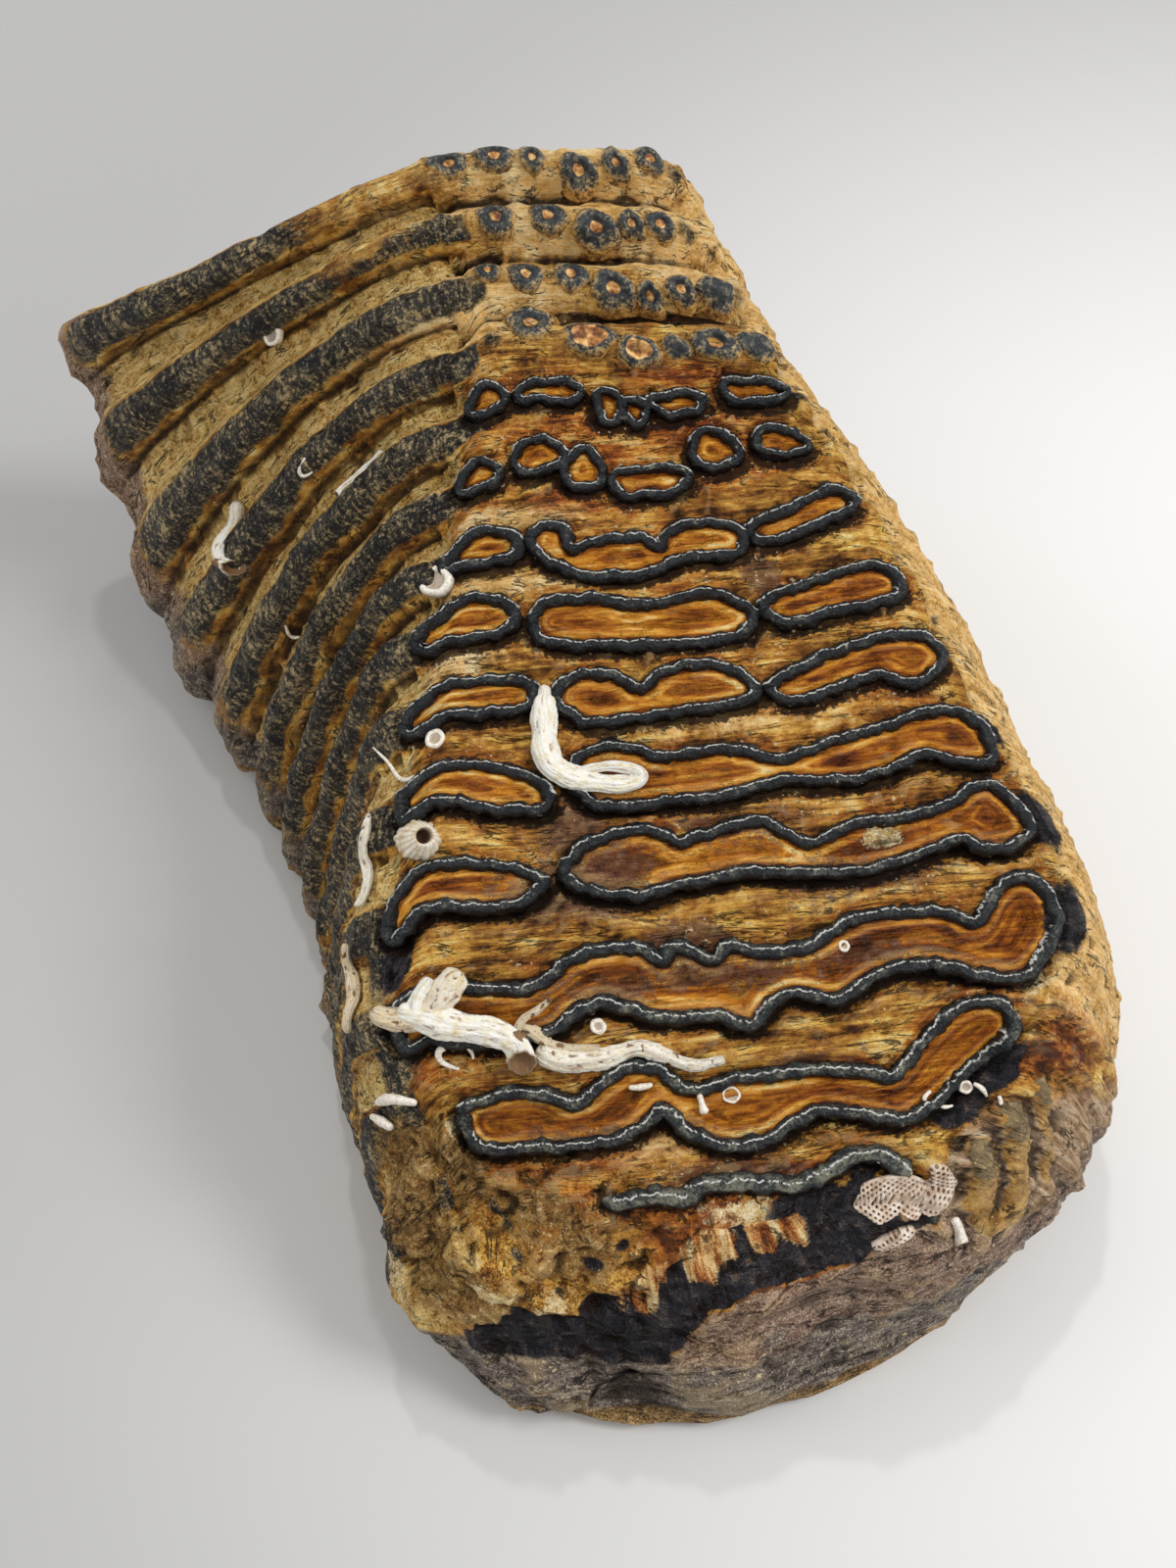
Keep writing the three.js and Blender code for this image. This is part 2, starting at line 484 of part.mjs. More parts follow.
// Enamel standing up along an outline: a low bank with sloping sides, rooted in the tooth.
function enamelBank(outline, closed, extra) {
  const count = outline.length;
  const places = outline.map(([across, plate]) => surfaceAt([clamp(across, -0.99, 0.99), 1, plate]));
  const rings = places.map(({ point, outward }, i) => {
    const next = places[closed ? (i + 1) % count : Math.min(i + 1, count - 1)].point;
    const back = places[closed ? (i + count - 1) % count : Math.max(i - 1, 0)].point;
    const sideways = next.clone().sub(back).cross(outward).normalize();
    const at = (side, height) => point.clone().addScaledVector(sideways, side)
      .addScaledVector(outward, height);
    const foot = RIBBON_WIDTH * (RIBBON_ROOT + RIBBON_HEIGHT) / RIBBON_HEIGHT / 2 + extra;
    return [at(-foot, -RIBBON_ROOT), at(foot, -RIBBON_ROOT), at(0, RIBBON_HEIGHT + extra)];
  });
  return loft(rings, closed);
}

function ovalOutline(across, plate, halfWidth, halfLength, turn, steps) {
  const angle = turn * Math.PI / 180;
  return Array.from({ length: steps }, (_, k) => {
    const t = -2 * Math.PI * k / steps;
    const [u, v] = [Math.cos(t), Math.sin(t)];
    return [across + halfWidth * (u * Math.cos(angle) - v * Math.sin(angle)),
      plate + halfLength * (u * Math.sin(angle) + v * Math.cos(angle))];
  });
}

// A low dome with a flat top, rooted in the tooth.
function knob([across, plate, halfWidth, halfLength], extra) {
  const rings = [[1.15, -RIBBON_ROOT], [0.6, KNOB_HEIGHT]].map(([scale, height]) => (
    ovalOutline(across, plate, halfWidth * scale, halfLength * scale, 0, 6)
      .map(([a, p]) => surfaceAt([a, 1, p], height + extra).point)));
  return loft(rings);
}

function tooth(extra) {
  let solid = toSolid(toothBody(extra));
  const join = (geometry) => {
    solid = solid.add(toSolid(geometry));
  };
  for (const outline of LONG_LOOPS) join(enamelBank(outline, true, extra));
  join(enamelBank(FRONT_PLATE, false, extra));
  for (const [across, plate, width, length, turn] of RINGS) {
    join(enamelBank(ovalOutline(across, plate, width, length, turn, 7), true, extra));
  }
  for (const row of KNOBS) join(knob(row, extra));
  return solid;
}

// ---------------------------------------------------------------- worm tubes, barnacle and crust

function tube({ radius, path, ends }, lift) {
  const places = path.map((place) => surfaceAt(place, lift));
  const rings = places.map(({ point, outward }, i) => {
    const next = places[Math.min(i + 1, places.length - 1)].point;
    const back = places[Math.max(i - 1, 0)].point;
    const sideways = next.clone().sub(back).cross(outward).normalize();
    const t = i / (places.length - 1);
    const startSize = ends[0] + (1 - ends[0]) * smooth([0, 0.3], t);
    const endSize = 1 + (ends[1] - 1) * smooth([0.6, 1], t);
    const size = radius * startSize * endSize;
    return Array.from({ length: TUBE_SIDES }, (_, k) => {
      const angle = 2 * Math.PI * k / TUBE_SIDES;
      return point.clone().addScaledVector(sideways, size * Math.cos(angle))
        .addScaledVector(outward, size * Math.sin(angle));
    });
  });
  return toSolid(loft(rings));
}

function wormTube(row, room) {
  let solid = tube(row, row.lift);
  for (const branch of row.branches ?? []) solid = solid.add(tube(branch, row.lift));
  return solid.subtract(room);
}

// A truncated cone with a pit in its mouth.
function barnacle(room) {
  const { across, up, plate, baseRadius, mouthRadius, height, sides } = BARNACLE;
  const { point, outward } = surfaceAt([across, up, plate]);
  const sideways = new THREE.Vector3(1, 0, 0).cross(outward).normalize();
  const forward = outward.clone().cross(sideways);
  const profile = [[baseRadius, -0.8], [baseRadius, 0.3], [mouthRadius * 1.4, height], [mouthRadius, height],
    [mouthRadius * 0.8, height * 0.45]];
  const rings = profile.map(([radius, lift]) => Array.from({ length: sides }, (_, k) => {
    const angle = 2 * Math.PI * k / sides;
    return point.clone().addScaledVector(sideways, radius * Math.cos(angle))
      .addScaledVector(forward, radius * Math.sin(angle)).addScaledVector(outward, lift);
  }));
  return toSolid(loft(rings)).subtract(room);
}

// A thin sheet whose lobed outline thins out to its edge.
function crust(room) {
  const { length, girth, thickness, steps } = CRUST;
  const at = (u, v, lift) => {
    const reach = 1 - 0.12 * Math.sin(7 * Math.atan2(v, u));
    const l = length[0] + (length[1] - length[0]) * (0.5 + 0.5 * u * reach);
    const g = girth[0] + (girth[1] - girth[0]) * (0.5 + 0.5 * v * reach);
    return skinPoint(l, g, lift);
  };
  const ring = (radius, lift) => Array.from({ length: 2 * steps }, (_, k) => {
    const angle = Math.PI * k / steps;
    return at(radius * Math.cos(angle), radius * Math.sin(angle), lift);
  });
  const rings = [ring(0.5, -0.5), ring(1, -0.5), ring(1, 0.6 * thickness), ring(0.85, SEAT_GAP + thickness),
    ring(0.45, SEAT_GAP + thickness)];
  return toSolid(loft(rings)).subtract(room);
}

// ---------------------------------------------------------------- the named pieces

const group = new THREE.Group();

const molar = tooth(0);
const box = molar.boundingBox();
const middle = [(box.min[0] + box.max[0]) / 2, (box.min[1] + box.max[1]) / 2, 0];

function addPiece(name, solid, colour) {
  const geometry = toGeometry(solid);
  geometry.translate(...middle.map((value) => -value));
  const material = new THREE.MeshStandardMaterial({ color: colour, roughness: 0.5, metalness: 0 });
  const mesh = new THREE.Mesh(geometry, material);
  mesh.name = name;
  group.add(mesh);
}

const toothRoom = tooth(SEAT_GAP);
addPiece('molar', molar, COLOURS.tooth);
for (const [name, row] of Object.entries(TUBES)) addPiece(name, wormTube(row, toothRoom), COLOURS.wormTube);
addPiece('barnacle', barnacle(toothRoom), COLOURS.barnacle);
addPiece('bryozoan_crust', crust(toothRoom), COLOURS.bryozoan);

export default group;
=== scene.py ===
"""Visible surfaces, finishes and stage of a fossil mammoth molar, laid out as an add-on and run as a script.

Every place on the tooth is given by its plate (counted from the worn front, 0, to the unworn back, 13) and by
its place on the square section: x from the left flank (-1) to the right (1), y from the root base (-1) to the
chewing surface (1). Shapes are worked out in millimetres in the rails' own axes and stored in metres about
the middle.
"""

import bpy
import numpy as np
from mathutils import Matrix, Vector


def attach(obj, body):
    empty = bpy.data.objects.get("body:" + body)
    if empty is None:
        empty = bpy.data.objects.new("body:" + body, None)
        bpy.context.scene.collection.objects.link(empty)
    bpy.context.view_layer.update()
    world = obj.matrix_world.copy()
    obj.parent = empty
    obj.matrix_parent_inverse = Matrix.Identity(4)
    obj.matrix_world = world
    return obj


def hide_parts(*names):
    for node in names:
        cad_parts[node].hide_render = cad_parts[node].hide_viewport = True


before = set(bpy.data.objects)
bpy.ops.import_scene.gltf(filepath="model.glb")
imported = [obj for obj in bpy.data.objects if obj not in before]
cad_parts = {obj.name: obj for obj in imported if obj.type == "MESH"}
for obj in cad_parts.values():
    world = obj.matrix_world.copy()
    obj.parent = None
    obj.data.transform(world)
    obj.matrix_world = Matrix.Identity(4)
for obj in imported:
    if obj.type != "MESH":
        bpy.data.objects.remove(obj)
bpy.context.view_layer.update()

bl_info = {
    "name": "Fossil mammoth molar",
    "version": (1, 0, 0),
    "blender": (4, 5, 0),
    "location": "View3D > Sidebar > Molar",
    "description": "Builds the tooth, its enamel, worm tubes, barnacle and crusts, and lights them",
    "category": "Object",
}

# ---------------- driving dimensions, in millimetres

MM = 0.001
MIDDLE = np.array([0.925, -5.522, 0.0])  # middle of the tooth's box, in the axes that the rails are given in

FIRST_PLATE = -0.7  # the front face stands just before plate 0
LAST_PLATE = 13.4  # the back face stands just after plate 13
STATION_STEP = 2.82  # plates from one station of a rail to the next
PLATE_PITCH = 11.4  # usual distance from one plate to the next
HALF_WIDTH = 40.0  # usual half width of the chewing surface
HALF_DEPTH = 36.0  # usual half depth from the chewing surface to the root base

# The square section and the two end faces.
WORN_CORNER = 12.0  # power that rounds the section's corners on the worn plates; a higher one is sharper
CROWN_CORNER = 5.0  # the same on the unworn plates
FRONT_ROUND = 0.9  # plates over which the front rim is rounded
BACK_ROUND = 0.55  # plates over which the back rim is rounded
NOSE_SHRINK = 0.14  # share by which an end face is narrower than the section behind it
FRONT_DOME = 0.3  # plates by which the middle of the front face stands out
BACK_DOME = 0.75  # plates by which the middle of the back face stands out
FRONT_SWELL = 15.0  # how far the foot of the front face swells forward
FRONT_SWELL_REACH = 1.2  # plates over which that swelling fades

# Relief of the form: ridges of the plates, upright columns, a ledge and lumps.
RIDGE_HEIGHT = 4.2  # from valley to crest on the left flank
RIDGE_HALF_WIDTH = 0.3  # in plates
RIDGE_LEAD = 0.28  # plates by which a ridge runs forward as it turns down the left flank
WORN_RIDGE_SHARE = 0.35  # height of the front plates' ridges over that of the back ones
RIGHT_RIDGE_SHARE = 0.35  # height of the right flank's ridges over that of the left one
CROWN_RIDGE = 2.2  # rows across the unworn top
BASE_RIDGE = 1.8  # rows across the underside
COLUMN_HEIGHT = 1.5  # columns of the front right corner
COLUMN_STEP = 0.42  # plates from one of them to the next
FACE_COLUMN = 1.2  # columns of the front face
FACE_COLUMN_STEP = 0.8  # half widths from one of them to the next
FRONT_LEDGE = 2.0  # ledge of the front face over the root
LUMP = 0.55  # low lumps all over the tooth

# Six rails run the length of the tooth. Each is [x, y, z] at six stations, front to back.
RAILS = {
    "top_left": [[-14.5, -70, 33], [-23.5, -43, 48], [-20, -8, 59], [-15, 18.5, 67], [-12.5, 44, 76],
                 [-16, 67, 85]],
    "mid_left": [[-20.5, -73.5, 16], [-28.5, -40, 24], [-28.5, -10.5, 32], [-34, 14, 41], [-40.5, 41.5, 55],
                 [-50, 62, 69]],
    "low_left": [[-9, -79, 0], [-30, -44, -2], [-36.5, -18, -2], [-48, 6, -1], [-73, 41, 5], [-91, 79, 38]],
    "top_right": [[47, -64.5, 37], [66.5, -33.5, 50], [53.5, -2, 60], [40, 25, 67], [27, 43.5, 76],
                  [17, 66.5, 84.5]],
    "mid_right": [[65, -64, 20], [77, -37, 26], [67, -7, 34], [54.5, 21, 40], [37, 44, 47], [20, 68, 58]],
    "low_right": [[61, -65, -1], [77.5, -42, -4], [70, -12, -4], [54, 16, -1], [34, 42, 6], [6, 72, 26]],
}

# Hollows (negative) and swellings (positive) of the broken front: across, up, plate, reach, height.
DENTS = [
    (-0.85, 1.0, -0.25, 13.0, -5.5),
    (-0.9, 0.2, -0.5, 11.0, -3.0),
    (-0.5, 0.75, -0.7, 6.0, 2.5),
    (-0.98, 0.05, -0.7, 6.0, 3.0),
    (0.15, 0.6, -0.7, 10.0, 1.5),
    (0.93, 1.0, 0.3, 6.0, -2.5),
]


# ---------------- arithmetic on whole arrays

def smooth(low, high, value):
    """0 below low, 1 above high, and 3t² - 2t³ between them."""
    t = np.clip((value - low) / (high - low), 0, 1)
    return t * t * (3 - 2 * t)


def mix(a, b, share):
    """a where share is 0, b where it is 1."""
    return a + (b - a) * share


def lattice(i, j, k, seed):
    """A repeatable number from -1 to 1 for each whole-numbered corner: its three numbers scrambled
    together."""
    h = (i * 374761393 + j * 668265263 + k * 1274126177 + seed * 974634777) & 0xFFFFFFFF
    h = ((h ^ (h >> 13)) * 1274126177) & 0xFFFFFFFF
    return ((h ^ (h >> 16)) & 0xFFFF) / 32767.5 - 1


def noise(points, seed=0):
    """Smooth noise from -1 to 1: corner numbers of a unit lattice blended by 3t² - 2t³ along each axis."""
    base = np.floor(points)
    t = points - base
    t = t * t * (3 - 2 * t)
    i, j, k = (base[..., n].astype(np.int64) for n in range(3))
    total = 0
    for a in (0, 1):
        for b in (0, 1):
            for c in (0, 1):
                share = (t[..., 0] if a else 1 - t[..., 0]) * (t[..., 1] if b else 1 - t[..., 1])
                share = share * (t[..., 2] if c else 1 - t[..., 2])
                total = total + share * lattice(i + a, j + b, k + c, seed)
    return total


def rough(points, seed=0, octaves=3):
    """Noise laid over itself, each layer twice as fine and half as high."""
    total = 0
    for n in range(octaves):
        total = total + noise(points * 2 ** n + 17.3 * n, seed + n) / 2 ** n
    return total / 1.5


def unit(vectors):
    """The same directions, each with length 1."""
    return vectors / np.maximum(np.linalg.norm(vectors, axis=-1, keepdims=True), 1e-9)


# ---------------- the tooth's form

def catmull_rom(knots, place):
    """Points of the cubic curve through the knots: place counts them from the second one, 0, to the last but
    one."""
    k = np.clip(np.floor(place), 0, len(knots) - 4).astype(int)
    t = (place - k)[..., None]
    p0, p1, p2, p3 = (knots[k + n] for n in range(4))
    return p1 + t / 2 * (p2 - p0 + t * (2 * p0 - 5 * p1 + 4 * p2 - p3 + t * (3 * p1 - p0 - 3 * p2 + p3)))


def rail_points(name, plate):
    """Points of one rail: a Catmull-Rom curve through its stations, carried on straight past both ends."""
    knots = np.array(RAILS[name], float)
    knots = np.vstack([2 * knots[0] - knots[1], knots, 2 * knots[-1] - knots[-2]])
    return catmull_rom(knots, (plate - FIRST_PLATE) / STATION_STEP)


def body_points(plate, across, up):
    """The plain body: a parabola down each flank in up, joined straight across, swelling at the foot of the
    front."""
    top, middle, low = (w[..., None] for w in (up * (up + 1) / 2, 1 - up * up, up * (up - 1) / 2))
    left, right = (sum(share * rail_points(name + side, plate) for name, share in
                       (("top", top), ("mid", middle), ("low", low))) for side in ("_left", "_right"))
    points = mix(left, right, (1 + across[..., None]) / 2)
    fade = np.exp(-np.maximum(plate - FIRST_PLATE, 0) / FRONT_SWELL_REACH)
    points[..., 1] -= FRONT_SWELL * fade * (1 - across ** 2) * (1 - up) / 2
    return points


def round_section(plate, x, y):
    """[x, y] on a square becomes [across, up] on a square with rounded corners, drawn in at the two end
    faces."""
    power = mix(WORN_CORNER, CROWN_CORNER, smooth(8, 13, plate))
    edge = np.clip(np.minimum((plate - FIRST_PLATE) / FRONT_ROUND, (LAST_PLATE - plate) / BACK_ROUND), 0, 1)
    rounding = np.cbrt(1 - (1 - edge) ** 3)
    corner = (np.abs(x) ** power + np.abs(y) ** power) ** (1 / power)
    scale = (1 - NOSE_SHRINK * (1 - rounding)) / corner
    return x * scale, y * scale


def bend(x, plate):
    """Plates by which an edge runs forward as it turns down the left flank."""
    return RIDGE_LEAD * smooth(0.8, 1, -x) * (1 - smooth(10.3, 12, plate))


def skin_place(length, girth):
    """One place of the skin as a dictionary of arrays. Length runs from -1, the middle of the front face,
    through 0 and 1, the two rims, to 2, the middle of the back face. Girth runs 0 to 4, clockwise from the
    top left edge."""
    length, girth = np.broadcast_arrays(length, girth)
    side = np.floor(girth).astype(int) % 4
    run = 2 * (girth - np.floor(girth)) - 1
    one = np.ones_like(run)
    x = np.choose(side, [run, one, -run, -one])
    y = np.choose(side, [one, -run, -one, run])
    radius = np.where(length < 0, 1 + length, np.where(length > 1, 2 - length, 1.0))
    plate = mix(FIRST_PLATE, LAST_PLATE, np.clip(length, 0, 1))
    across, up = round_section(plate, x, y)
    middle = (1 - (x * radius) ** 2) * (1 - (y * radius) ** 2)
    dome = middle * np.where(length < 0, -FRONT_DOME, BACK_DOME)
    spatial = plate + dome - bend(x, plate) * radius
    return {"plate": plate, "x": x, "y": y, "radius": radius, "length": length,
            "point": body_points(spatial, across * radius, up * radius)}


def plate_ridge(plate):
    """1 on a plate's edge and 0 between two plates: exp of minus the fourth power of the distance from the
    edge."""
    return np.exp(-((plate - np.round(plate)) / RIDGE_HALF_WIDTH) ** 4)


def form_relief(place):
    """Height of ridges, columns, ledge, lumps and dents over the plain body."""
    plate, x, y, radius, point = (place[n] for n in ("plate", "x", "y", "radius", "point"))
    ridge = plate_ridge(plate)
    side = np.where(x < 0, 1, RIGHT_RIDGE_SHARE)
    flank = smooth(0.86, 1, np.abs(x)) * smooth(-1.3, -0.5, y) * side
    wear = WORN_RIDGE_SHARE + (1 - WORN_RIDGE_SHARE) * smooth(3.5, 7, plate)
    crown = smooth(9, 11.5, plate) * smooth(0.9, 1, y)
    corner = smooth(0.9, 1, x) * smooth(-0.7, 0, y) * (1 - smooth(1, 1.8, plate))
    column = np.abs(np.cos(np.pi * plate / COLUMN_STEP))
    lump = np.sin(point[..., 0] / 6.1 + point[..., 2] / 9) * np.sin(point[..., 1] / 7.3 - point[..., 2] / 5.2)
    base = smooth(6, 8, plate) * smooth(0.9, 1, -y)
    ridges = (RIDGE_HEIGHT * (ridge - 0.5) * wear * flank + CROWN_RIDGE * (ridge - 0.6) * crown
              + BASE_RIDGE * (ridge - 0.6) * base + COLUMN_HEIGHT * column * corner)
    face_column = FACE_COLUMN * np.cos(2 * np.pi * x * radius / FACE_COLUMN_STEP)
    ledge = np.where(plate < 0, FRONT_LEDGE * smooth(0.12, 0.42, y * radius), 0)
    height = ridges * radius ** 2 + (face_column + ledge) * (1 - radius ** 6) + LUMP * lump
    for across, up, at_plate, reach, rise in DENTS:
        centre = body_points(*(np.array(v, float) for v in (at_plate, across, up)))
        far = np.linalg.norm(point - centre, axis=-1) / reach
        height = height + rise * np.exp(-far ** 2)
    return height


SLOPE_STEP = 1e-3  # a short step along the skin, to measure its slope


def skin_normal(length, girth):
    """Outward direction: the cross product of the skin's two slopes, each kept clear of the section's
    corners."""
    part = np.clip(girth % 1, 2 * SLOPE_STEP, 1 - 2 * SLOPE_STEP) + np.floor(girth)
    along = skin_place(length + SLOPE_STEP, part)["point"] - skin_place(length - SLOPE_STEP, part)["point"]
    around = skin_place(length, part + SLOPE_STEP)["point"] - skin_place(length, part - SLOPE_STEP)["point"]
    return unit(np.cross(around, along))


def skin_points(length, girth, lift):
    """Points of the ridged skin at length and girth, raised by lift in mm."""
    length, girth = np.broadcast_arrays(length, girth)
    place = skin_place(length, girth)
    return place["point"] + skin_normal(length, girth) * (form_relief(place) + lift)[..., None]


def surface(plate, x, y):
    """Points and outward directions on the ridged surface, at plate and [x, y] on the square section."""
    plate, x, y = np.broadcast_arrays(*(np.asarray(v, float) for v in (plate, x, y)))

    def plain(p, turn):
        u, v = np.clip(x - turn * y, -1, 1), np.clip(y + turn * x, -1, 1)
        across, up = round_section(p, u, v)
        return body_points(p - bend(u, p), across, up)

    around = plain(plate, -SLOPE_STEP) - plain(plate, SLOPE_STEP)
    along = plain(plate + SLOPE_STEP, 0) - plain(plate - SLOPE_STEP, 0)
    outward = unit(np.cross(around, along))
    place = {"plate": plate, "x": x, "y": y, "radius": np.ones_like(plate), "point": plain(plate, 0)}
    return place["point"] + outward * form_relief(place)[..., None], outward


# ---------------- outlines of the enamel, [across, plate]

# Long loops of the worn plates, one closed line each along the middle of the enamel: across and plate in
# turn.
LONG_LOOPS = [np.reshape(loop, (-1, 2)) for loop in (
    [-0.78, 0.6, -0.74, 0.69, -0.63, 0.76, -0.52, 0.745, -0.41, 0.6, -0.33, 0.78, -0.244, 0.93, -0.157, 0.89,
     -0.08, 0.67, -0.016, 0.61, 0.094, 0.69, 0.22, 0.68, 0.31, 0.7, 0.41, 0.67, 0.53, 0.6, 0.63, 0.54,
     0.67, 0.82, 0.72, 1.15, 0.8, 1.26, 0.9, 1.15, 0.96, 0.91, 0.93, 0.6, 0.86, 0.22, 0.75, 0.03,
     0.66, 0.085, 0.53, 0.19, 0.42, 0.23, 0.35, 0.12, 0.27, -0.03, 0.157, -0.06, 0.05, 0.04, -0.06, 0.25,
     -0.12, 0.43, -0.157, 0.34, -0.25, 0.16, -0.41, 0.12, -0.58, 0.12, -0.72, 0.12, -0.78, 0.3],
    [-0.93, 2, -0.82, 2.03, -0.69, 1.99, -0.56, 1.92, -0.48, 2.02, -0.41, 2.19, -0.31, 2.25, -0.22, 2.21,
     -0.157, 2.05, -0.13, 2.2, -0.07, 2.12, -0.016, 2.02, 0.03, 2.14, 0.126, 2.03, 0.25, 2.05, 0.33, 2.21,
     0.42, 2.3, 0.55, 2.31, 0.64, 2.25, 0.72, 2.12, 0.78, 2.41, 0.85, 2.55, 0.93, 2.45, 0.977, 2.1,
     0.95, 1.75, 0.9, 1.5, 0.77, 1.53, 0.69, 1.64, 0.566, 1.73, 0.456, 1.66, 0.35, 1.45, 0.22, 1.57,
     0.157, 1.48, 0.11, 1.26, 0, 1.4, -0.157, 1.45, -0.244, 1.57, -0.33, 1.68, -0.41, 1.59, -0.47, 1.44,
     -0.58, 1.37, -0.72, 1.405, -0.84, 1.51, -0.92, 1.6],
    [-0.95, 2.94, -0.935, 3.11, -0.88, 3.23, -0.786, 3.23, -0.676, 3.2, -0.566, 3.12, -0.495, 3, -0.49, 2.94,
     -0.55, 2.79, -0.66, 2.78, -0.786, 2.835, -0.864, 2.8, -0.927, 2.75],
    [-0.42, 3.03, -0.4, 3.18, -0.34, 3.32, -0.22, 3.4, -0.134, 3.35, -0.086, 3.23, 0, 3.3, 0.157, 3.36,
     0.21, 3.25, 0.275, 3.095, 0.36, 3.18, 0.456, 3.26, 0.63, 3.3, 0.74, 3.4, 0.81, 3.525, 0.88, 3.54,
     0.93, 3.33, 0.94, 3.06, 0.86, 2.9, 0.77, 2.9, 0.71, 3, 0.55, 2.85, 0.41, 2.77, 0.25, 2.81, 0.094, 2.88,
     -0.016, 2.84, -0.11, 2.82, -0.2, 2.75, -0.31, 2.81, -0.385, 2.91],
    [-0.94, 4.08, -0.93, 4.18, -0.85, 4.2, -0.75, 4.2, -0.64, 4.14, -0.55, 4.05, -0.495, 3.97, -0.47, 3.86,
     -0.464, 3.74, -0.49, 3.67, -0.57, 3.69, -0.66, 3.73, -0.75, 3.82, -0.86, 3.86, -0.93, 3.9],
    [-0.4, 3.95, -0.35, 4.2, -0.27, 4.27, -0.17, 4.205, -0.094, 4.1, 0.094, 4.15, 0.17, 4.08, 0.26, 3.98,
     0.36, 4.05, 0.49, 4.14, 0.61, 4.23, 0.75, 4.33, 0.91, 4.36, 0.97, 4.16, 0.94, 3.86, 0.88, 3.775,
     0.79, 3.83, 0.715, 3.91, 0.6, 3.78, 0.47, 3.71, 0.35, 3.71, 0.27, 3.76, 0.063, 3.65, -0.094, 3.66,
     -0.24, 3.65, -0.33, 3.71],
    [-0.97, 4.94, -0.91, 5.1, -0.7, 5.12, -0.56, 5.09, -0.51, 4.92, -0.55, 4.75, -0.75, 4.74, -0.93, 4.78],
    [-0.43, 4.86, -0.39, 5.04, -0.3, 5.1, -0.21, 5.02, -0.14, 4.86, -0.07, 5.02, 0.03, 5.12, 0.16, 5.07,
     0.26, 4.8, 0.18, 4.63, -0.12, 4.56, -0.3, 4.53, -0.4, 4.68],
    [0.31, 4.78, 0.45, 5, 0.62, 5.18, 0.82, 5.3, 0.93, 5.23, 0.95, 5.02, 0.87, 4.78, 0.78, 4.71, 0.7, 4.83,
     0.54, 4.71, 0.39, 4.6],
    [-0.97, 5.95, -0.93, 6.18, -0.78, 6.26, -0.64, 6.16, -0.59, 5.95, -0.63, 5.74, -0.78, 5.68, -0.93, 5.78],
    [-0.52, 5.8, -0.5, 6, -0.44, 6.1, -0.27, 6.06, -0.08, 5.93, 0.08, 6.04, 0.18, 6.06, 0.28, 5.9, 0.32, 5.7,
     0.25, 5.47, 0.05, 5.4, -0.25, 5.43, -0.46, 5.54],
    [0.37, 5.75, 0.43, 5.95, 0.58, 6.06, 0.8, 6.2, 0.91, 6.14, 0.92, 5.92, 0.84, 5.75, 0.6, 5.63,
     0.44, 5.56],
    [-0.92, 6.97, -0.86, 7.15, -0.74, 7.24, -0.62, 7.1, -0.6, 6.85, -0.7, 6.75, -0.88, 6.82],
    [-0.54, 7.05, -0.49, 7.2, -0.4, 7.12, -0.37, 6.83, -0.22, 6.9, -0.06, 6.89, 0.01, 6.76, 0.07, 6.97,
     0.2, 7.06, 0.34, 6.99, 0.38, 6.78, 0.32, 6.58, 0.12, 6.56, -0.02, 6.42, -0.15, 6.35, -0.36, 6.47,
     -0.5, 6.78],
    [0.42, 6.8, 0.46, 7, 0.62, 7.13, 0.84, 7.36, 0.92, 7.25, 0.89, 7.05, 0.7, 6.86, 0.5, 6.7])]

# The broken front plate keeps only the back run of its enamel.
FRONT_PLATE = [[-0.3, -0.36], [-0.27, -0.52], [-0.13, -0.495], [0.02, -0.53], [0.06, -0.43], [0.31, -0.47],
               [0.47, -0.52], [0.565, -0.45], [0.61, -0.34], [0.71, -0.32], [0.82, -0.43], [0.92, -0.58]]

# Rings of the hardly worn plates: across, plate, half width, half length, turn in degrees.
RINGS = [
    (-0.81, 8.08, 0.1, 0.2, 15), (-0.51, 8.27, 0.13, 0.26, 25), (-0.29, 8.02, 0.09, 0.3, -20),
    (0.02, 7.74, 0.18, 0.25, 5), (0.38, 8.14, 0.12, 0.3, 0), (0.72, 8.18, 0.13, 0.24, 10),
    (-0.8, 9.2, 0.1, 0.22, 0), (-0.44, 9.27, 0.18, 0.2, -12), (-0.11, 8.98, 0.07, 0.25, -8),
    (0.03, 8.87, 0.07, 0.2, 0), (0.27, 8.95, 0.15, 0.2, 15), (0.73, 9.12, 0.18, 0.26, 0),
]

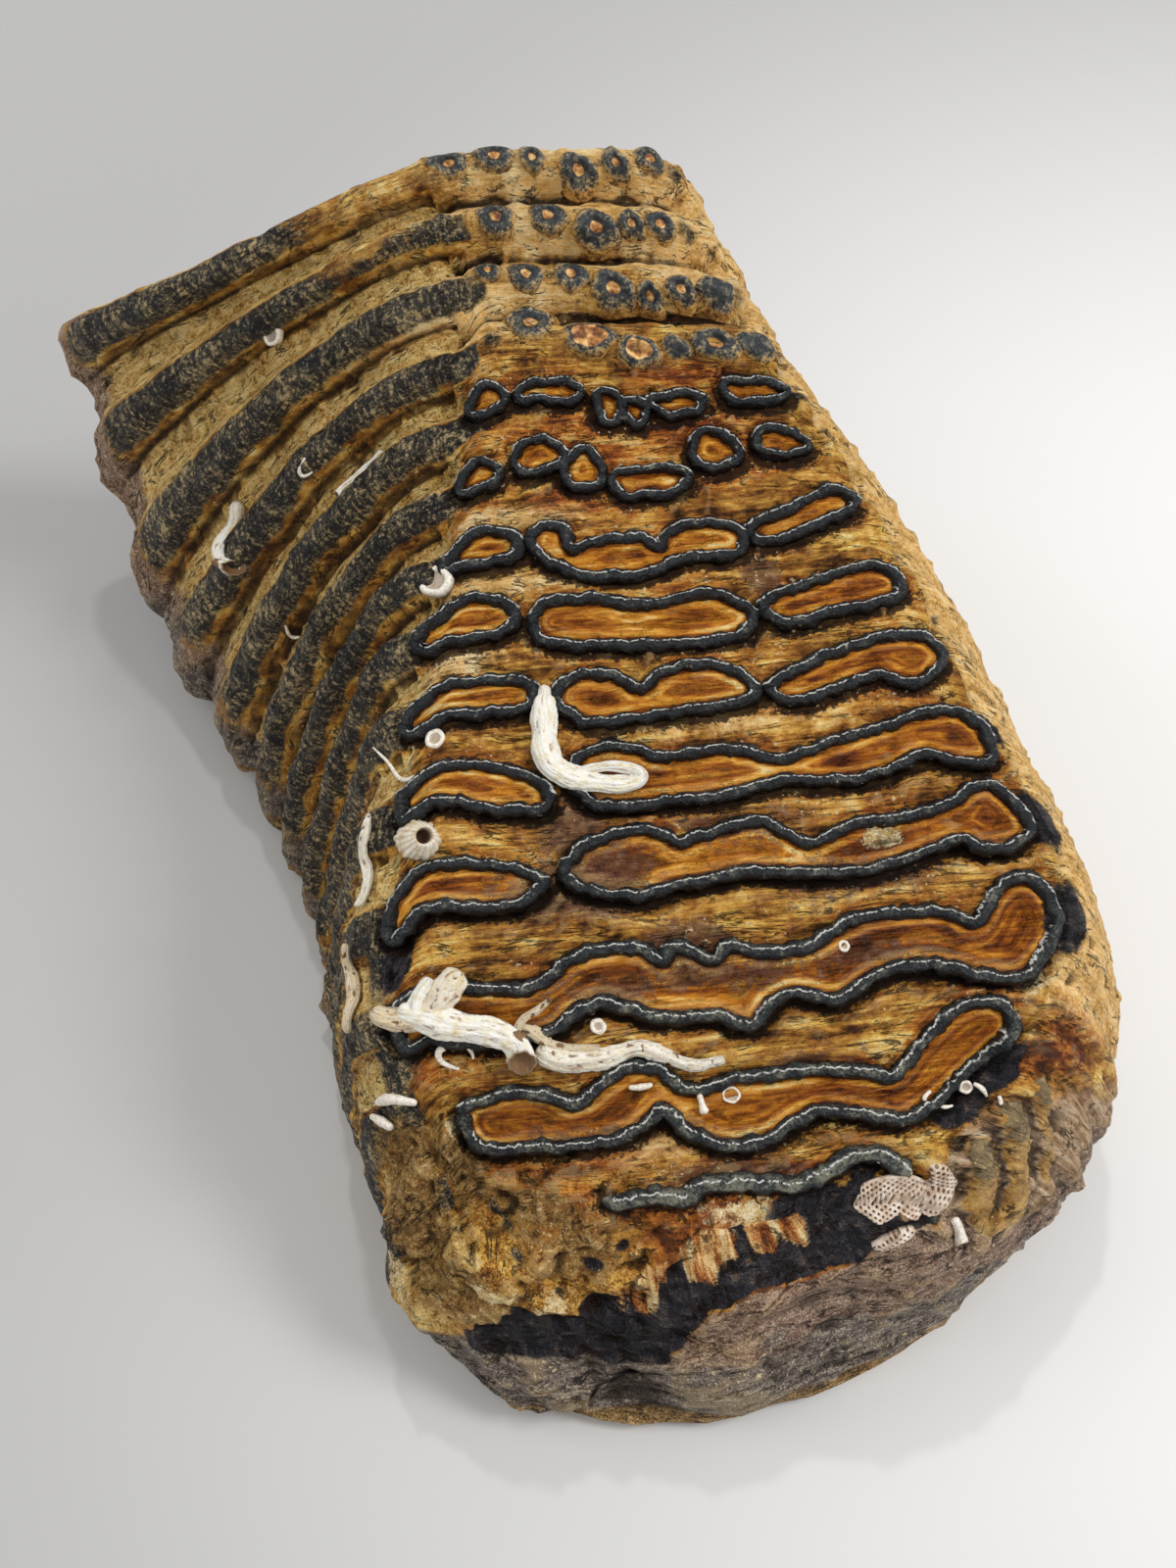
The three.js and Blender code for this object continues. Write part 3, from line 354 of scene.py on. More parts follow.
# Knobs of the unworn plates: across, plate, half width, half length, size of the dentine dot (0 for none).
KNOBS = [
    (-0.52, 10.37, 0.17, 0.32, 0.3), (-0.15, 10.1, 0.19, 0.31, 0.9),
    (0.14, 9.85, 0.15, 0.3, 0.8), (0.385, 9.9, 0.1, 0.24, 0.0), (0.64, 9.95, 0.17, 0.32, 0.3),
    (0.88, 9.95, 0.13, 0.3, 0.0),
    (-0.76, 11.18, 0.1, 0.22, 0.3), (-0.5, 11.1, 0.14, 0.3, 0.3),
    (-0.18, 11.1, 0.14, 0.3, 0.3), (0.09, 10.86, 0.17, 0.34, 0.35), (0.33, 10.75, 0.1, 0.26, 0.3),
    (0.56, 10.85, 0.12, 0.26, 0.3), (0.8, 10.85, 0.14, 0.3, 0.0),
    (-0.63, 12.04, 0.15, 0.33, 0.35), (-0.24, 12.05, 0.16, 0.31, 0.3),
    (0.1, 11.85, 0.19, 0.33, 0.3), (0.37, 11.9, 0.11, 0.25, 0.3), (0.58, 11.9, 0.12, 0.24, 0.35),
    (-0.85, 13.02, 0.14, 0.24, 0.3), (-0.53, 13.05, 0.17, 0.26, 0.3), (-0.24, 13.0, 0.11, 0.24, 0.3),
    (0.1, 12.8, 0.17, 0.3, 0.3), (0.41, 12.9, 0.12, 0.27, 0.3), (0.68, 13.0, 0.12, 0.24, 0.35),
]


# ---------------- meshes from grids

def curve(points, count, closed):
    """A Catmull-Rom curve through the points, taken at count even steps of its parameter."""
    points = np.array(points, float)
    if closed:
        knots = np.vstack([points[-1], points, points[:2]])
        place = np.linspace(0, len(points), count, endpoint=False)
    else:
        knots = np.vstack([2 * points[0] - points[1], points, 2 * points[-1] - points[-2]])
        place = np.linspace(0, len(points) - 1, count)
    return catmull_rom(knots, place)


def even_steps(line, points, step, closed):
    """Rows of line taken again at even steps, in mm, of the length of the matching points."""
    ends = np.vstack([points, points[:1]]) if closed else points
    rows = np.vstack([line, line[:1]]) if closed else line
    run = np.concatenate([[0], np.cumsum(np.linalg.norm(np.diff(ends, axis=0), axis=1))])
    count = max(int(run[-1] / step), 8)
    at = np.linspace(0, run[-1], count, endpoint=not closed)
    return np.stack([np.interp(at, run, rows[:, n]) for n in range(rows.shape[1])], -1), at


def shell(rows, closed_rows=False):
    """A closed shell from a grid whose rows are rings: quads between rings, and a fan to a pole at each end,
    or the last ring joined to the first."""
    count, size = rows.shape[:2]
    i = np.arange(count if closed_rows else count - 1)[:, None]
    j = np.arange(size)[None, :]
    after, beside = (i + 1) % count, (j + 1) % size
    quads = np.stack([i * size + j, i * size + beside, after * size + beside, after * size + j], -1)
    quads = quads.reshape(-1, 4)
    points = rows.reshape(-1, 3)
    if closed_rows:
        return points, quads, np.zeros((0, 3), int)
    ring = np.arange(size)
    last = (count - 1) * size
    poles = np.stack([rows[0].mean(0), rows[-1].mean(0)])
    start = np.stack([np.full(size, count * size), (ring + 1) % size, ring], -1)
    end = np.stack([np.full(size, count * size + 1), last + ring, last + (ring + 1) % size], -1)
    return np.vstack([points, poles]), quads, np.vstack([start, end])


def with_poles(values):
    """A grid's values as one row per vertex, with the mean of the first and the last ring for the two
    poles."""
    flat = values.reshape((-1,) + values.shape[2:])
    return np.concatenate([flat, values[:1].mean(1), values[-1:].mean(1)])


def join_shells(shells):
    """Several shells as one: their faces counted on from the vertices before them."""
    points, quads, triangles, count = [], [], [], 0
    for own_points, own_quads, own_triangles in shells:
        points.append(own_points)
        quads.append(own_quads + count)
        triangles.append(own_triangles + count)
        count += len(own_points)
    return np.vstack(points), np.vstack(quads), np.vstack(triangles)


def faced_out(points, quads, triangles):
    """The same shell, turned round if its signed volume, the sum of a·(b×c) over its triangles, is
    negative."""
    fans = np.vstack([quads[:, [0, 1, 2]], quads[:, [0, 2, 3]], triangles])
    a, b, c = (points[fans[:, n]] for n in range(3))
    if np.einsum("ij,ij->i", a, np.cross(b, c)).sum() < 0:
        quads, triangles = quads[:, ::-1], triangles[:, ::-1]
    return points, quads, triangles


def add_piece(name, shells, attributes, material, nodes):
    """Makes a piece from shells in mm, gives it its attributes and finish, and says what it rides on and
    replaces."""
    points, quads, triangles = join_shells([faced_out(*one) for one in shells])
    mesh = bpy.data.meshes.new(name)
    mesh.vertices.add(len(points))
    mesh.vertices.foreach_set("co", ((points - MIDDLE) * MM).astype(np.float32).ravel())
    corners = np.concatenate([quads.ravel(), triangles.ravel()]).astype(np.int32)
    starts = np.concatenate([np.arange(len(quads)) * 4, len(quads) * 4 + np.arange(len(triangles)) * 3])
    mesh.loops.add(len(corners))
    mesh.loops.foreach_set("vertex_index", corners)
    mesh.polygons.add(len(starts))
    mesh.polygons.foreach_set("loop_start", starts.astype(np.int32))
    mesh.update(calc_edges=True)
    mesh.shade_smooth()
    for key, values in attributes.items():
        values = np.asarray(values, np.float32)
        kind, field = ("FLOAT", "value") if values.ndim == 1 else ("FLOAT_VECTOR", "vector")
        mesh.attributes.new(key, kind, "POINT").data.foreach_set(field, values.ravel())
    mesh.materials.append(material)
    piece = bpy.data.objects.new(name, mesh)
    bpy.context.scene.collection.objects.link(piece)
    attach(piece, "root")
    if nodes:
        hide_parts(*nodes)
    return piece


# ---------------- enamel lines on the chewing surface

def enamel_lines():
    """Every enamel outline as a dictionary: its line in [across, plate], whether it closes, its width and
    row."""
    lines = [{"line": curve(loop, 40 * len(loop), True), "closed": True, "width": 2.0 if n < 2 else 1.8}
             for n, loop in enumerate(LONG_LOOPS)]
    lines.append({"line": curve(FRONT_PLATE, 400, False), "closed": False, "width": 2.5})
    turn = np.linspace(0, 2 * np.pi, 200, endpoint=False)
    for across, plate, half_width, half_length, angle in RINGS:
        angle = np.radians(angle)
        wave = 1 + 0.07 * np.sin(3 * turn + 5 * plate)
        waist = 0.32 * smooth(0.12, 0.16, half_width) * np.exp(-((np.cos(turn) + 0.1) / 0.4) ** 2)
        u, v = np.cos(turn) * wave, np.sin(turn) * wave * (1 - waist)
        line = np.stack([across + half_width * (u * np.cos(angle) - v * np.sin(angle)),
                         plate + half_length * (u * np.sin(angle) + v * np.cos(angle))], -1)
        lines.append({"line": line, "closed": True, "width": 1.5})
    return lines


def top_points(line, height=0.0):
    """Points on the chewing surface at rows of [across, plate], with their outward directions."""
    points, outward = surface(line[:, 1], np.clip(line[:, 0], -0.995, 0.995), 1.0)
    return points + outward * height, outward


def run_distance(points, run, closed):
    """Shortest distance from each point to a run of short straight pieces, and how far the point lies in
    front."""
    ends = np.vstack([run, run[:1]]) if closed else run
    start, piece = ends[:-1], np.diff(ends, axis=0)
    length = np.maximum((piece ** 2).sum(1), 1e-9)
    offset = points[:, None, :] - start[None]
    t = np.clip((offset * piece).sum(-1) / length, 0, 1)
    offset = offset - t[..., None] * piece
    far = np.linalg.norm(offset, axis=-1)
    nearest = far.argmin(1)
    row = np.arange(len(points))
    return far[row, nearest], -offset[row, nearest, 1]


def inside(places, line):
    """True for each [across, plate] inside a closed line: its level ray crosses the line an odd number of
    times."""
    a, b = line, np.roll(line, -1, axis=0)
    x, y = places[:, :1], places[:, 1:]
    spans = (a[:, 1] > y) != (b[:, 1] > y)
    rise = np.where(b[:, 1] == a[:, 1], 1e-9, b[:, 1] - a[:, 1])
    cross = a[:, 0] + (y - a[:, 1]) / rise * (b[:, 0] - a[:, 0])
    return (spans & (x < cross)).sum(1) % 2 == 1


def enamel_fields(place, lines):
    """For every place of the skin: distance in mm to the nearest enamel line, how far in front of it the
    place lies, and 1 where it lies inside a loop."""
    shape = place["plate"].shape
    distance, ahead, filled = np.full(shape, 99.0), np.zeros(shape), np.zeros(shape)
    on_top = (place["y"] > 0.999) & (place["radius"] > 0.999)
    for row in lines:
        line, closed = row["line"][::4], row["closed"]
        low, high = line.min(0), line.max(0)
        near = on_top & (place["plate"] > low[1] - 0.6) & (place["plate"] < high[1] + 0.6)
        near &= (place["x"] > low[0] - 0.15) & (place["x"] < high[0] + 0.15)
        points, _ = top_points(line)
        far, front = run_distance(place["skin"][near], points, closed)
        nearer = far < distance[near]
        distance[near] = np.where(nearer, far, distance[near])
        ahead[near] = np.where(nearer, front, ahead[near])
        if closed:
            spots = np.stack([place["x"][near], place["plate"][near]], -1)
            filled[near] = np.maximum(filled[near], inside(spots, line))
    return distance, ahead, filled


# ---------------- the tooth's skin

FRONT_RINGS = 30
BODY_RINGS = 272
BACK_RINGS = 20
GIRTH_STEPS = (144, 42, 16, 80)  # grid columns: chewing surface, right flank, base, left flank
CORNER_CROWDING = 0.35  # how far the columns crowd at the section's corners: 0 is evenly spaced
ENAMEL_REACH = 6.0  # mm from the enamel over which the relief follows it
FAR_FROM_ENAMEL = 9.0  # mm, stored for every place that lies further away
SCAR = (12.79, -1.0, 0.66)  # plate, x, y of the ring that a lost growth left
SCAR_RADIUS = 3.0

# Soft patches of each zone: plate, x, y, reach across and along in mm, strength. On the front face x and y
# shrink towards its middle, and its plate is -0.7.
PATCHES = {
    "purple": [
        (2.84, -0.387, 1, 9, 3.2, 1), (3.45, -0.4, 1, 4, 4, 0.9), (3.32, 0.1, 1, 10, 2.5, 0.5),
        (2.25, -0.093, 1, 6, 2.5, 0.8), (1.9, 0.347, 1, 12, 2.5, 0.5), (2.75, 0.35, 1, 14, 3, 0.5),
        (3, -0.25, 1, 5, 2.5, 0.7), (0.2, -0.35, 1, 9, 2, 0.6), (-0.35, 0.2, 1, 12, 2.2, 0.7),
        (1.85, 0, 1, 12, 2.6, 0.6), (1.75, -0.3, 1, 8, 2.4, 0.55), (3.1, -0.3, 1, 5, 3, 0.6),
        (0.8, 0.3, 1, 7, 2.2, 0.5), (9.7, 0.1, 1, 8, 2.5, 0.6), (6.3, 0.4, 1, 3, 3, 0.8)],
    "rust": [
        (1.25, -0.82, 1, 6, 2.5, 1), (8.6, 0, 1, 26, 6, 1), (9.5, 0.3, 1, 14, 5, 1),
        (8.1, 0.45, 1, 10, 6, 0.9), (7.6, -0.15, 1, 18, 3.2, 1), (-0.42, 0.3, 1, 14, 2.5, 1),
        (1.4, 1, 0.7, 10, 10, 0.9), (10.5, 0.25, 1, 10, 3, 0.7), (-0.62, 0.1, 1, 16, 1.6, 1),
        (-0.7, 0.35, 0.5, 9, 4, 0.8), (0.75, 1, 0.85, 6, 4, 0.8), (-0.7, 0.3, 0.95, 6, 3, 0.8),
        (-0.7, 0.55, 0.42, 6, 4, 0.9), (-0.05, -0.5, 1, 14, 2.2, 1), (-0.4, -0.52, 1, 9, 2.2, 0.9),
        (-0.65, -0.45, 1, 6, 1.5, 0.8)],
    "flank": [
        (9.9, 0.93, 1, 4, 2.2, 1), (10.85, 0.9, 1, 4, 2.2, 0.9), (11.9, 0.78, 1, 4, 2.2, 0.9),
        (9.1, 0.98, 1, 3, 2.5, 0.8), (12.95, 0.88, 1, 4, 2.2, 0.8), (10.1, -0.78, 1, 3, 2, 0.9),
        (0, -0.84, 1, 1.6, 3.4, 1), (-0.32, -0.81, 1, 1.6, 3.4, 1), (-0.6, -0.77, 1, 1.5, 2.6, 1),
        (-0.7, -0.72, 0.9, 1.5, 2, 1), (1.45, -1, 0.96, 5, 5, 1), (2.6, -1, 0.97, 4, 4, 1)],
    "pale": [
        (12.4, 0.1, 1, 40, 11, 1), (10.8, -0.8, 1, 20, 9, 0.9), (13.3, 0.2, 1, 40, 8, 1),
        (11.4, 0.7, 1, 16, 12, 0.9), (3.9, 0.55, 1, 6, 2, 0.6), (4.4, 0.1, 1, 16, 2, 0.4),
        (5.4, -0.8, 1, 8, 2, 0.7), (6.4, -0.7, 1, 10, 2, 0.8), (7.4, -0.6, 1, 12, 2, 0.9),
        (0, -0.25, 1, 12, 2, 0.5)],
    "cream": [
        (0.42, 0.92, 1, 4, 3, 1), (-0.5, 0.4, 1, 3, 1.2, 0.9), (-0.66, 0.2, 1, 8, 0.8, 0.7),
        (3.1, 0.5, 1, 3, 1.6, 0.9), (0.45, -0.82, 1, 2.5, 2, 0.9), (1.45, 0.97, 1, 2, 3, 0.9),
        (-0.7, -0.81, 0.7, 4, 4, 1), (-0.7, -0.58, 0.6, 3.2, 3, 1), (-0.7, 0.1, 0.93, 4, 2, 0.7),
        (-0.7, 0.3, 0.99, 6, 2, 0.8), (-0.3, -1, 0.2, 5, 4, 0.9), (-0.1, 0.3, 1, 3, 1, 0.5)],
    "black": [
        (-0.68, 0.55, 1, 9, 1.2, 1), (-0.68, 0.75, 1, 7, 1.5, 1), (0.2, 0.95, 1, 4, 4, 1),
        (0.5, 1, 0.97, 3.5, 4, 1), (2.5, -0.93, 1, 3, 3, 1), (2.15, 1, 0.95, 4, 5, 1),
        (3.2, 1, 0.98, 3.5, 4, 0.9), (4.2, 1, 0.98, 3, 3, 0.7), (-0.7, -0.4, 0.81, 2, 2, 0.8),
        (-0.7, -0.28, 0.9, 1.5, 2, 0.8), (-0.5, 0.72, 1, 3, 2, 0.8)],
    "earth": [
        (0.4, -1, 0.75, 12, 9, 1), (-0.5, -1, 0.6, 12, 8, 1), (-0.7, -0.85, 0.5, 7, 6, 0.8),
        (-0.1, -0.85, 1, 5, 8, 0.9), (-0.45, -0.6, 1, 8, 3, 0.7), (-0.7, -0.45, 0.9, 8, 4, 0.8)],
}

# The black broken enamel of the front face: across, its upper edge and its lower edge, towards the face's
# middle.
FRONT_BLACK = np.array([
    [-0.9, 0.12, -0.15], [-0.71, 0.57, -0.05], [-0.53, 0.47, -0.1], [-0.4, 0.55, -0.17], [-0.22, 0.61, -0.05],
    [-0.1, 0.76, 0.2], [0, 0.92, 0.45], [0.19, 0.98, 0.54], [0.37, 1, 0.5], [0.55, 1, 0.6], [0.73, 0.95, 0.72],
    [0.95, 0.88, 0.8]])


# Rounded columns at the front right corner: [length, girth] of their upper and lower ends, and half width in
# mm.
CORNER_COLUMNS = [
    ((0.03, 1.075), (-0.051, 1.323), 2.1), ((0.059, 1.1), (0.004, 1.32), 2.1),
    ((0.085, 1.13), (0.03, 1.345), 1.2), ((-0.05, 1.075), (-0.09, 1.15), 1.1),
]


def corner_columns(point):
    """Height in mm, a half round over each column, and how near a column's rounded upper end, from 0 to 1."""
    height, tip = np.zeros(point.shape[:-1]), np.zeros(point.shape[:-1])
    for upper, lower, half in CORNER_COLUMNS:
        ends = skin_points(*np.array([upper, lower], float).T, 0.0)
        run = ends[1] - ends[0]
        offset = point - ends[0]
        t = offset @ run / (run @ run)
        far = np.linalg.norm(offset - np.clip(t, 0.0, 1.0)[..., None] * run, axis=-1)
        high = np.sqrt(np.clip(1 - (far / half) ** 2, 0, 1)) * half
        height = np.maximum(height, high)
        tip = np.maximum(tip, smooth(0.1 * half, 0.5 * half, high) * smooth(0.3, 0.12, t))
    return height, tip


def girth_lines():
    """Girth values of the grid's columns: even and cosine spacing mixed, closer together at the section's
    corners."""
    sides = []
    for side, steps in enumerate(GIRTH_STEPS):
        t = np.arange(steps) / steps
        sides.append(side + mix(t, 0.5 - 0.5 * np.cos(np.pi * t), CORNER_CROWDING))
    return np.concatenate(sides)


def length_lines():
    """Length values of the grid's rings, without the two poles; closer together near the two rims."""
    front = np.arange(1, FRONT_RINGS) / FRONT_RINGS
    back = np.arange(1, BACK_RINGS) / BACK_RINGS
    return np.concatenate([-1 + np.sin(front * np.pi / 2), np.linspace(0, 1, BODY_RINGS),
                           2 - np.sin(back * np.pi / 2)[::-1]])


def growth_place(place):
    """Distances in mm across, along and up inside the growing tooth: patterns that read it follow the
    growth."""
    return np.stack([HALF_WIDTH * place["x"] * place["radius"], PLATE_PITCH * place["plate"],
                     HALF_DEPTH * place["y"] * place["radius"]], -1)


def patch(place, plate, x, y, across, along):
    """A soft oval: exp of minus the squared distances from its centre, over its two reaches."""
    u = (place["x"] * place["radius"] - x) * HALF_WIDTH / across
    v = (place["plate"] - plate) * PLATE_PITCH / along
    w = (place["y"] * place["radius"] - y) * HALF_DEPTH / across
    return np.exp(-(u * u + v * v + w * w))


def crown_zones(place, growth, filled, distance, ahead, top):
    """Dentine inside the loops, painted shade in the groove beside the enamel, widest in front of it where its
    shadow falls, and the rows and furrows of the unworn plates."""
    plate, x = place["plate"], place["x"]
    # Painted shade: the beside share darkens the cementum by the enamel, more in front, where its shadow falls.
    in_front = smooth(-0.3, 0.5, ahead)
    line = (1 - smooth(0.9, 1.3 + 1.9 * in_front, distance)) * (0.6 + 0.4 * in_front)
    row = 0 * plate
    for across, knob_plate, half_width, half_length, _ in KNOBS:
        u, v = (x - across) / (1.9 * half_width), (plate - knob_plate) / (1.3 * half_length)
        row = np.maximum(row, np.exp(-u * u - v * v) * top)
    fold = np.abs(np.abs(plate - np.round(plate)) - 0.5 + 0.06 * noise(growth / 6, 105))
    return {"dentine": filled * top, "beside": top * (1 - filled) * line, "row": row,
            "furrow": top * smooth(9.4, 10, plate) * smooth(0.17, 0.0, fold)}


def flank_zones(place, growth, filled, top, low):
    """Enamel ridges of the left flank, which also turn over the edge of the crown, the shade at the foot of
    each, and the valleys between them. Phase is the distance in plates from a ridge's middle."""
    plate, x, y = (place[n] for n in ("plate", "x", "y"))
    phase = plate - np.round(plate) + 0.035 * rough(growth / 5, 61)
    left = smooth(0.9, 0.97, -x) * smooth(-0.99, -0.93, y) * smooth(0.9, 1, place["radius"]) * (1 - filled)
    fade = 1 - smooth(11.4, 12.6, plate + 0.3 * rough(growth / 6, 63)) * smooth(0.2, 0.7, y)
    over = smooth(-0.79, -0.89, x + 0.11 * rough(growth / 4, 97))
    over = top * over * smooth(6.6, 7.4, plate) * (1 - filled)
    over = over * (1 - smooth(12.2, 12.6, plate))
    ridge = smooth(-0.29, -0.22, phase) * (1 - smooth(0.12, 0.21, phase))
    foot = smooth(-0.36, -0.31, phase) * (1 - smooth(-0.30, -0.26, phase))
    valley = np.maximum(smooth(0.16, 0.24, phase), 1 - smooth(-0.39, -0.33, phase))
    return {"flank": np.maximum(left * fade, over) * low * ridge, "shade": left * foot * low * (1 - 0.6 * top),
            "valley": left * valley}


def side_zones(place, growth, top, low):
    """Root stone with its pale base and earthy hem, tan cementum of the right flank, and the strands, columns
    and column tips of its front corner."""
    plate, x, y = (place[n] for n in ("plate", "x", "y"))
    height = place["point"][..., 2]
    front = 1 - smooth(0.0, np.where(x > 0, 0.3, 0.04), place["length"])
    foot = smooth(0.2, -0.15, y * place["radius"] + 0.2 * rough(growth / 7, 73))
    stem, tip = corner_columns(place["skin"])
    return {"root": np.maximum((1 - low) * (1 - top), foot * front),
            "base": smooth(22, 10, height + 7 * rough(growth / 9, 101)),
            "hem": smooth(6.5, 3.0, height + 2.5 * rough(growth / 4, 103)),
            "tan": smooth(0.93, 1, x) * smooth(0.6, 2, plate) * (1 - top),
            "strand": (smooth(0.9, 1, x) * (1 - smooth(0.4, 1.8, plate + 1.2 * y)) * smooth(-0.8, -0.2, y)
                       * (1 - top)),
            "stem": stem, "tip": tip}


def add_patches(place, zones):
    """Lays the soft patches over the zones; where two overlap, the higher share holds."""
    for zone, patches in PATCHES.items():
        share = zones.get(zone, 0 * place["plate"])
        for *oval, strength in patches:
            share = np.maximum(share, strength * patch(place, *oval))
        zones[zone] = share


def add_front(place, growth, zones):
    """Adds the broken front face: rock at its left, a band of black enamel with teeth above it, root stone
    below."""
    plate, x = place["plate"], place["x"]
    across, up = x * place["radius"], place["y"] * place["radius"]
    corner = smooth(-0.05, -0.35, across) * smooth(0.1, 0.35, up)
    near = smooth(0.2, -0.2, plate - 0.4 * smooth(-0.75, -0.85, x) + 0.3 * rough(growth / 6, 95))
    zones["rock"] = corner * near * (1 - zones["dentine"])
    front = 1 - smooth(-0.02, 0.01, place["length"])
    upper, lower = (np.interp(across, FRONT_BLACK[:, 0], FRONT_BLACK[:, n]) for n in (1, 2))
    up = up + 0.05 * rough(growth * [0.4, 1, 0.15], 81)
    band = smooth(lower - 0.05, lower + 0.05, up) * (1 - smooth(upper - 0.02, upper + 0.03, up))
    zones["black"] = np.maximum(zones["black"], front * band * smooth(-0.95, -0.88, across))
    zones["root"] = np.maximum(zones["root"], front * smooth(lower + 0.02, lower - 0.06, up))
    teeth = noise(growth * [0.55, 0.3, 0.05], 83) + 0.5 * noise(growth * [1.3, 0.3, 0.1], 84)
    middle = smooth(-0.4, -0.25, across) * (1 - smooth(0.4, 0.55, across))
    fringe = smooth(upper - 0.3, upper - 0.06, up + 0.12 * teeth) * (1 - smooth(upper + 0.04, upper + 0.1, up))
    zones["teeth"] = front * smooth(-0.9, 0.1, teeth) * middle * fringe


def skin_zones(place, growth, filled, distance, ahead):
    """Shares, 0 to 1, of each material zone at every place of the skin."""
    top = smooth(0.975, 0.998, place["y"]) * smooth(0.96, 1, place["radius"])
    low = smooth(-0.85, -0.55, place["y"] + 0.15 * rough(growth / 9, 71))
    zones = crown_zones(place, growth, filled, distance, ahead, top)
    zones.update(flank_zones(place, growth, filled, top, low))
    zones.update(side_zones(place, growth, top, low))
    add_patches(place, zones)
    add_front(place, growth, zones)
    return zones


def worn_relief(place, zones, distance, ahead, top):
    """Dentine hollowed inside its loops, and cementum grooved beside the enamel, most in front of the worn
    plates."""
    near = np.minimum(distance, ENAMEL_REACH)
    hollow = 0.25 * np.exp(-((near - 1.7) / 0.45) ** 2) - 0.7 * smooth(1.8, 3.4, near)
    sunk = smooth(-0.2, 0.6, ahead) * (1 - smooth(2.8, 4.5, place["plate"]))
    groove = 0.5 * (1 - smooth(1.1, 2.4, near)) + 1.3 * sunk * (1 - smooth(1.2, 3.2, near))
    return zones["dentine"] * hollow - top * (1 - zones["dentine"]) * groove


def stone_relief(place, growth, zones, distance, top):
    """Fibres, splits, crumbs, pits and grain; on the chewing surface the fibres and splits run along the
    enamel."""
    point, dentine = place["point"], zones["dentine"]
    plate_half = np.round(place["plate"] * 2) + 0.1 * growth[..., 1]
    lines = np.stack([growth[..., 0] * 0.1, np.minimum(distance, ENAMEL_REACH) * 0.85, plate_half], -1)
    fibre = (0.22 * rough(lines, 3) + 0.22 * rough(growth * [0.1, 0.6, 0.2], 4)) * top
    fibre = fibre + 0.35 * rough(growth * [0.5, 0.5, 0.07], 5, 4) * (1 - top) * (1 - zones["flank"])
    split = -0.32 * smooth(0.07, 0.0, np.abs(noise(lines * [0.7, 0.8, 1], 6))) * top * (1 - dentine)
    crumb = 0.5 * smooth(0.4, 0.75, noise(point * 0.62, 7)) * (1 - 0.8 * dentine)
    pit = -0.55 * smooth(0.4, 0.8, noise(point * 0.45, 9)) * (1 - 0.5 * dentine)
    grain = 0.22 * rough(point * 0.9, 11) * (1 - 0.6 * dentine)
    return (fibre + split + crumb + pit + grain) * (1 - 0.5 * zones["flank"])


def flank_relief(place, growth, zones, side):
    """Wrinkled and holed enamel on the left flank, whose ridges are rounded further, with a sharp foot in
    front."""
    plate, x, y = (place[n] for n in ("plate", "x", "y"))
    wrinkle = 0.32 * noise(growth * [0.5, 0.22, 0.75], 13) + 0.3 * rough(growth * 0.35, 14, 4)
    wrinkle = wrinkle - 0.45 * smooth(0.35, 0.7, noise(growth * 0.55, 16))
    phase = plate - np.round(plate)
    left = smooth(0.94, 1, -x) * smooth(-1.2, -0.5, y) * smooth(2, 6, plate) * side
    swell = 0.9 * np.cos(np.pi * np.clip(phase / RIDGE_HALF_WIDTH, -1, 1) / 2) - 0.4
    swell = swell - 0.8 * np.exp(-((phase + 0.32) / 0.04) ** 2) + 0.5 * smooth(0.3, 0.45, phase)
    return zones["flank"] * wrinkle + left * swell


def terraces(place, zones):
    """Steps of the rock, furrows and raised rows of the unworn plates, and the ring that a lost growth
    left."""
    point = place["point"]
    level = 1.8 * rough(point / 7.5, 91)
    steps = np.floor(level) + smooth(0.0, 0.22, level - np.floor(level))
    scar, _ = surface(*([v] for v in SCAR))
    away = np.linalg.norm(point - scar[0], axis=-1) - SCAR_RADIUS
    ring = 0.45 * np.exp(-(away / 0.4) ** 2)
    rock = zones["rock"] * (1.6 * steps + 0.8 * rough(point / 2.5, 93))
    return ring + rock + 0.7 * zones["row"] - 1.8 * zones["furrow"]


def rugged_relief(place, growth, zones, front, side):
    """Rough stone of the root and the front face."""
    rugged = 0.9 * rough(place["point"] / 5.5, 15, 4) + 0.5 * rough(growth * [0.5, 0.5, 0.06], 17)
    return rugged * np.maximum(front, zones["root"] * side)


def chipped_relief(place, growth, zones, front, side):
    """Chips of cream and earth, and the columns, the teeth and the sunken black band of the front."""
    point = place["point"]
    chips = zones["cream"] * side * 0.9 * rough(point / 2.2, 18)
    chips = chips + zones["earth"] * 0.9 * rough(point / 2.6, 19, 4)
    face = front * (0.5 * noise(growth * [0.28, 1, 0.05], 20) - 0.9 * zones["black"])
    return chips + zones["stem"] + 0.8 * zones["teeth"] + face


def skin_detail(place, growth, zones, distance, ahead):
    """Fine relief in mm, the sum of the reliefs above; the columns of the front corner stay nearly plain."""
    top = smooth(0.985, 1, place["y"]) * smooth(0.97, 1, place["radius"])
    front = 1 - smooth(-0.05, 0.02, place["length"])
    plain = 1 - 0.7 * np.minimum(zones["stem"], 1)
    stone = stone_relief(place, growth, zones, distance, top)
    stone = stone + rugged_relief(place, growth, zones, front, 1 - top)
    return (worn_relief(place, zones, distance, ahead, top) + stone * plain
            + flank_relief(place, growth, zones, 1 - top)
            + chipped_relief(place, growth, zones, front, 1 - top) + terraces(place, zones))


def cavity(height):
    """How far each grid point lies under the mean of the points around it, scaled to run from 0 to 1."""
    mean = height.copy()
    shifts = (1, 2, 4)
    for shift in shifts:
        for axis in (0, 1):
            mean = mean + np.roll(height, shift, axis) + np.roll(height, -shift, axis)
    return np.clip(0.5 + (mean / (1 + 4 * len(shifts)) - height) * 0.9, 0, 1)


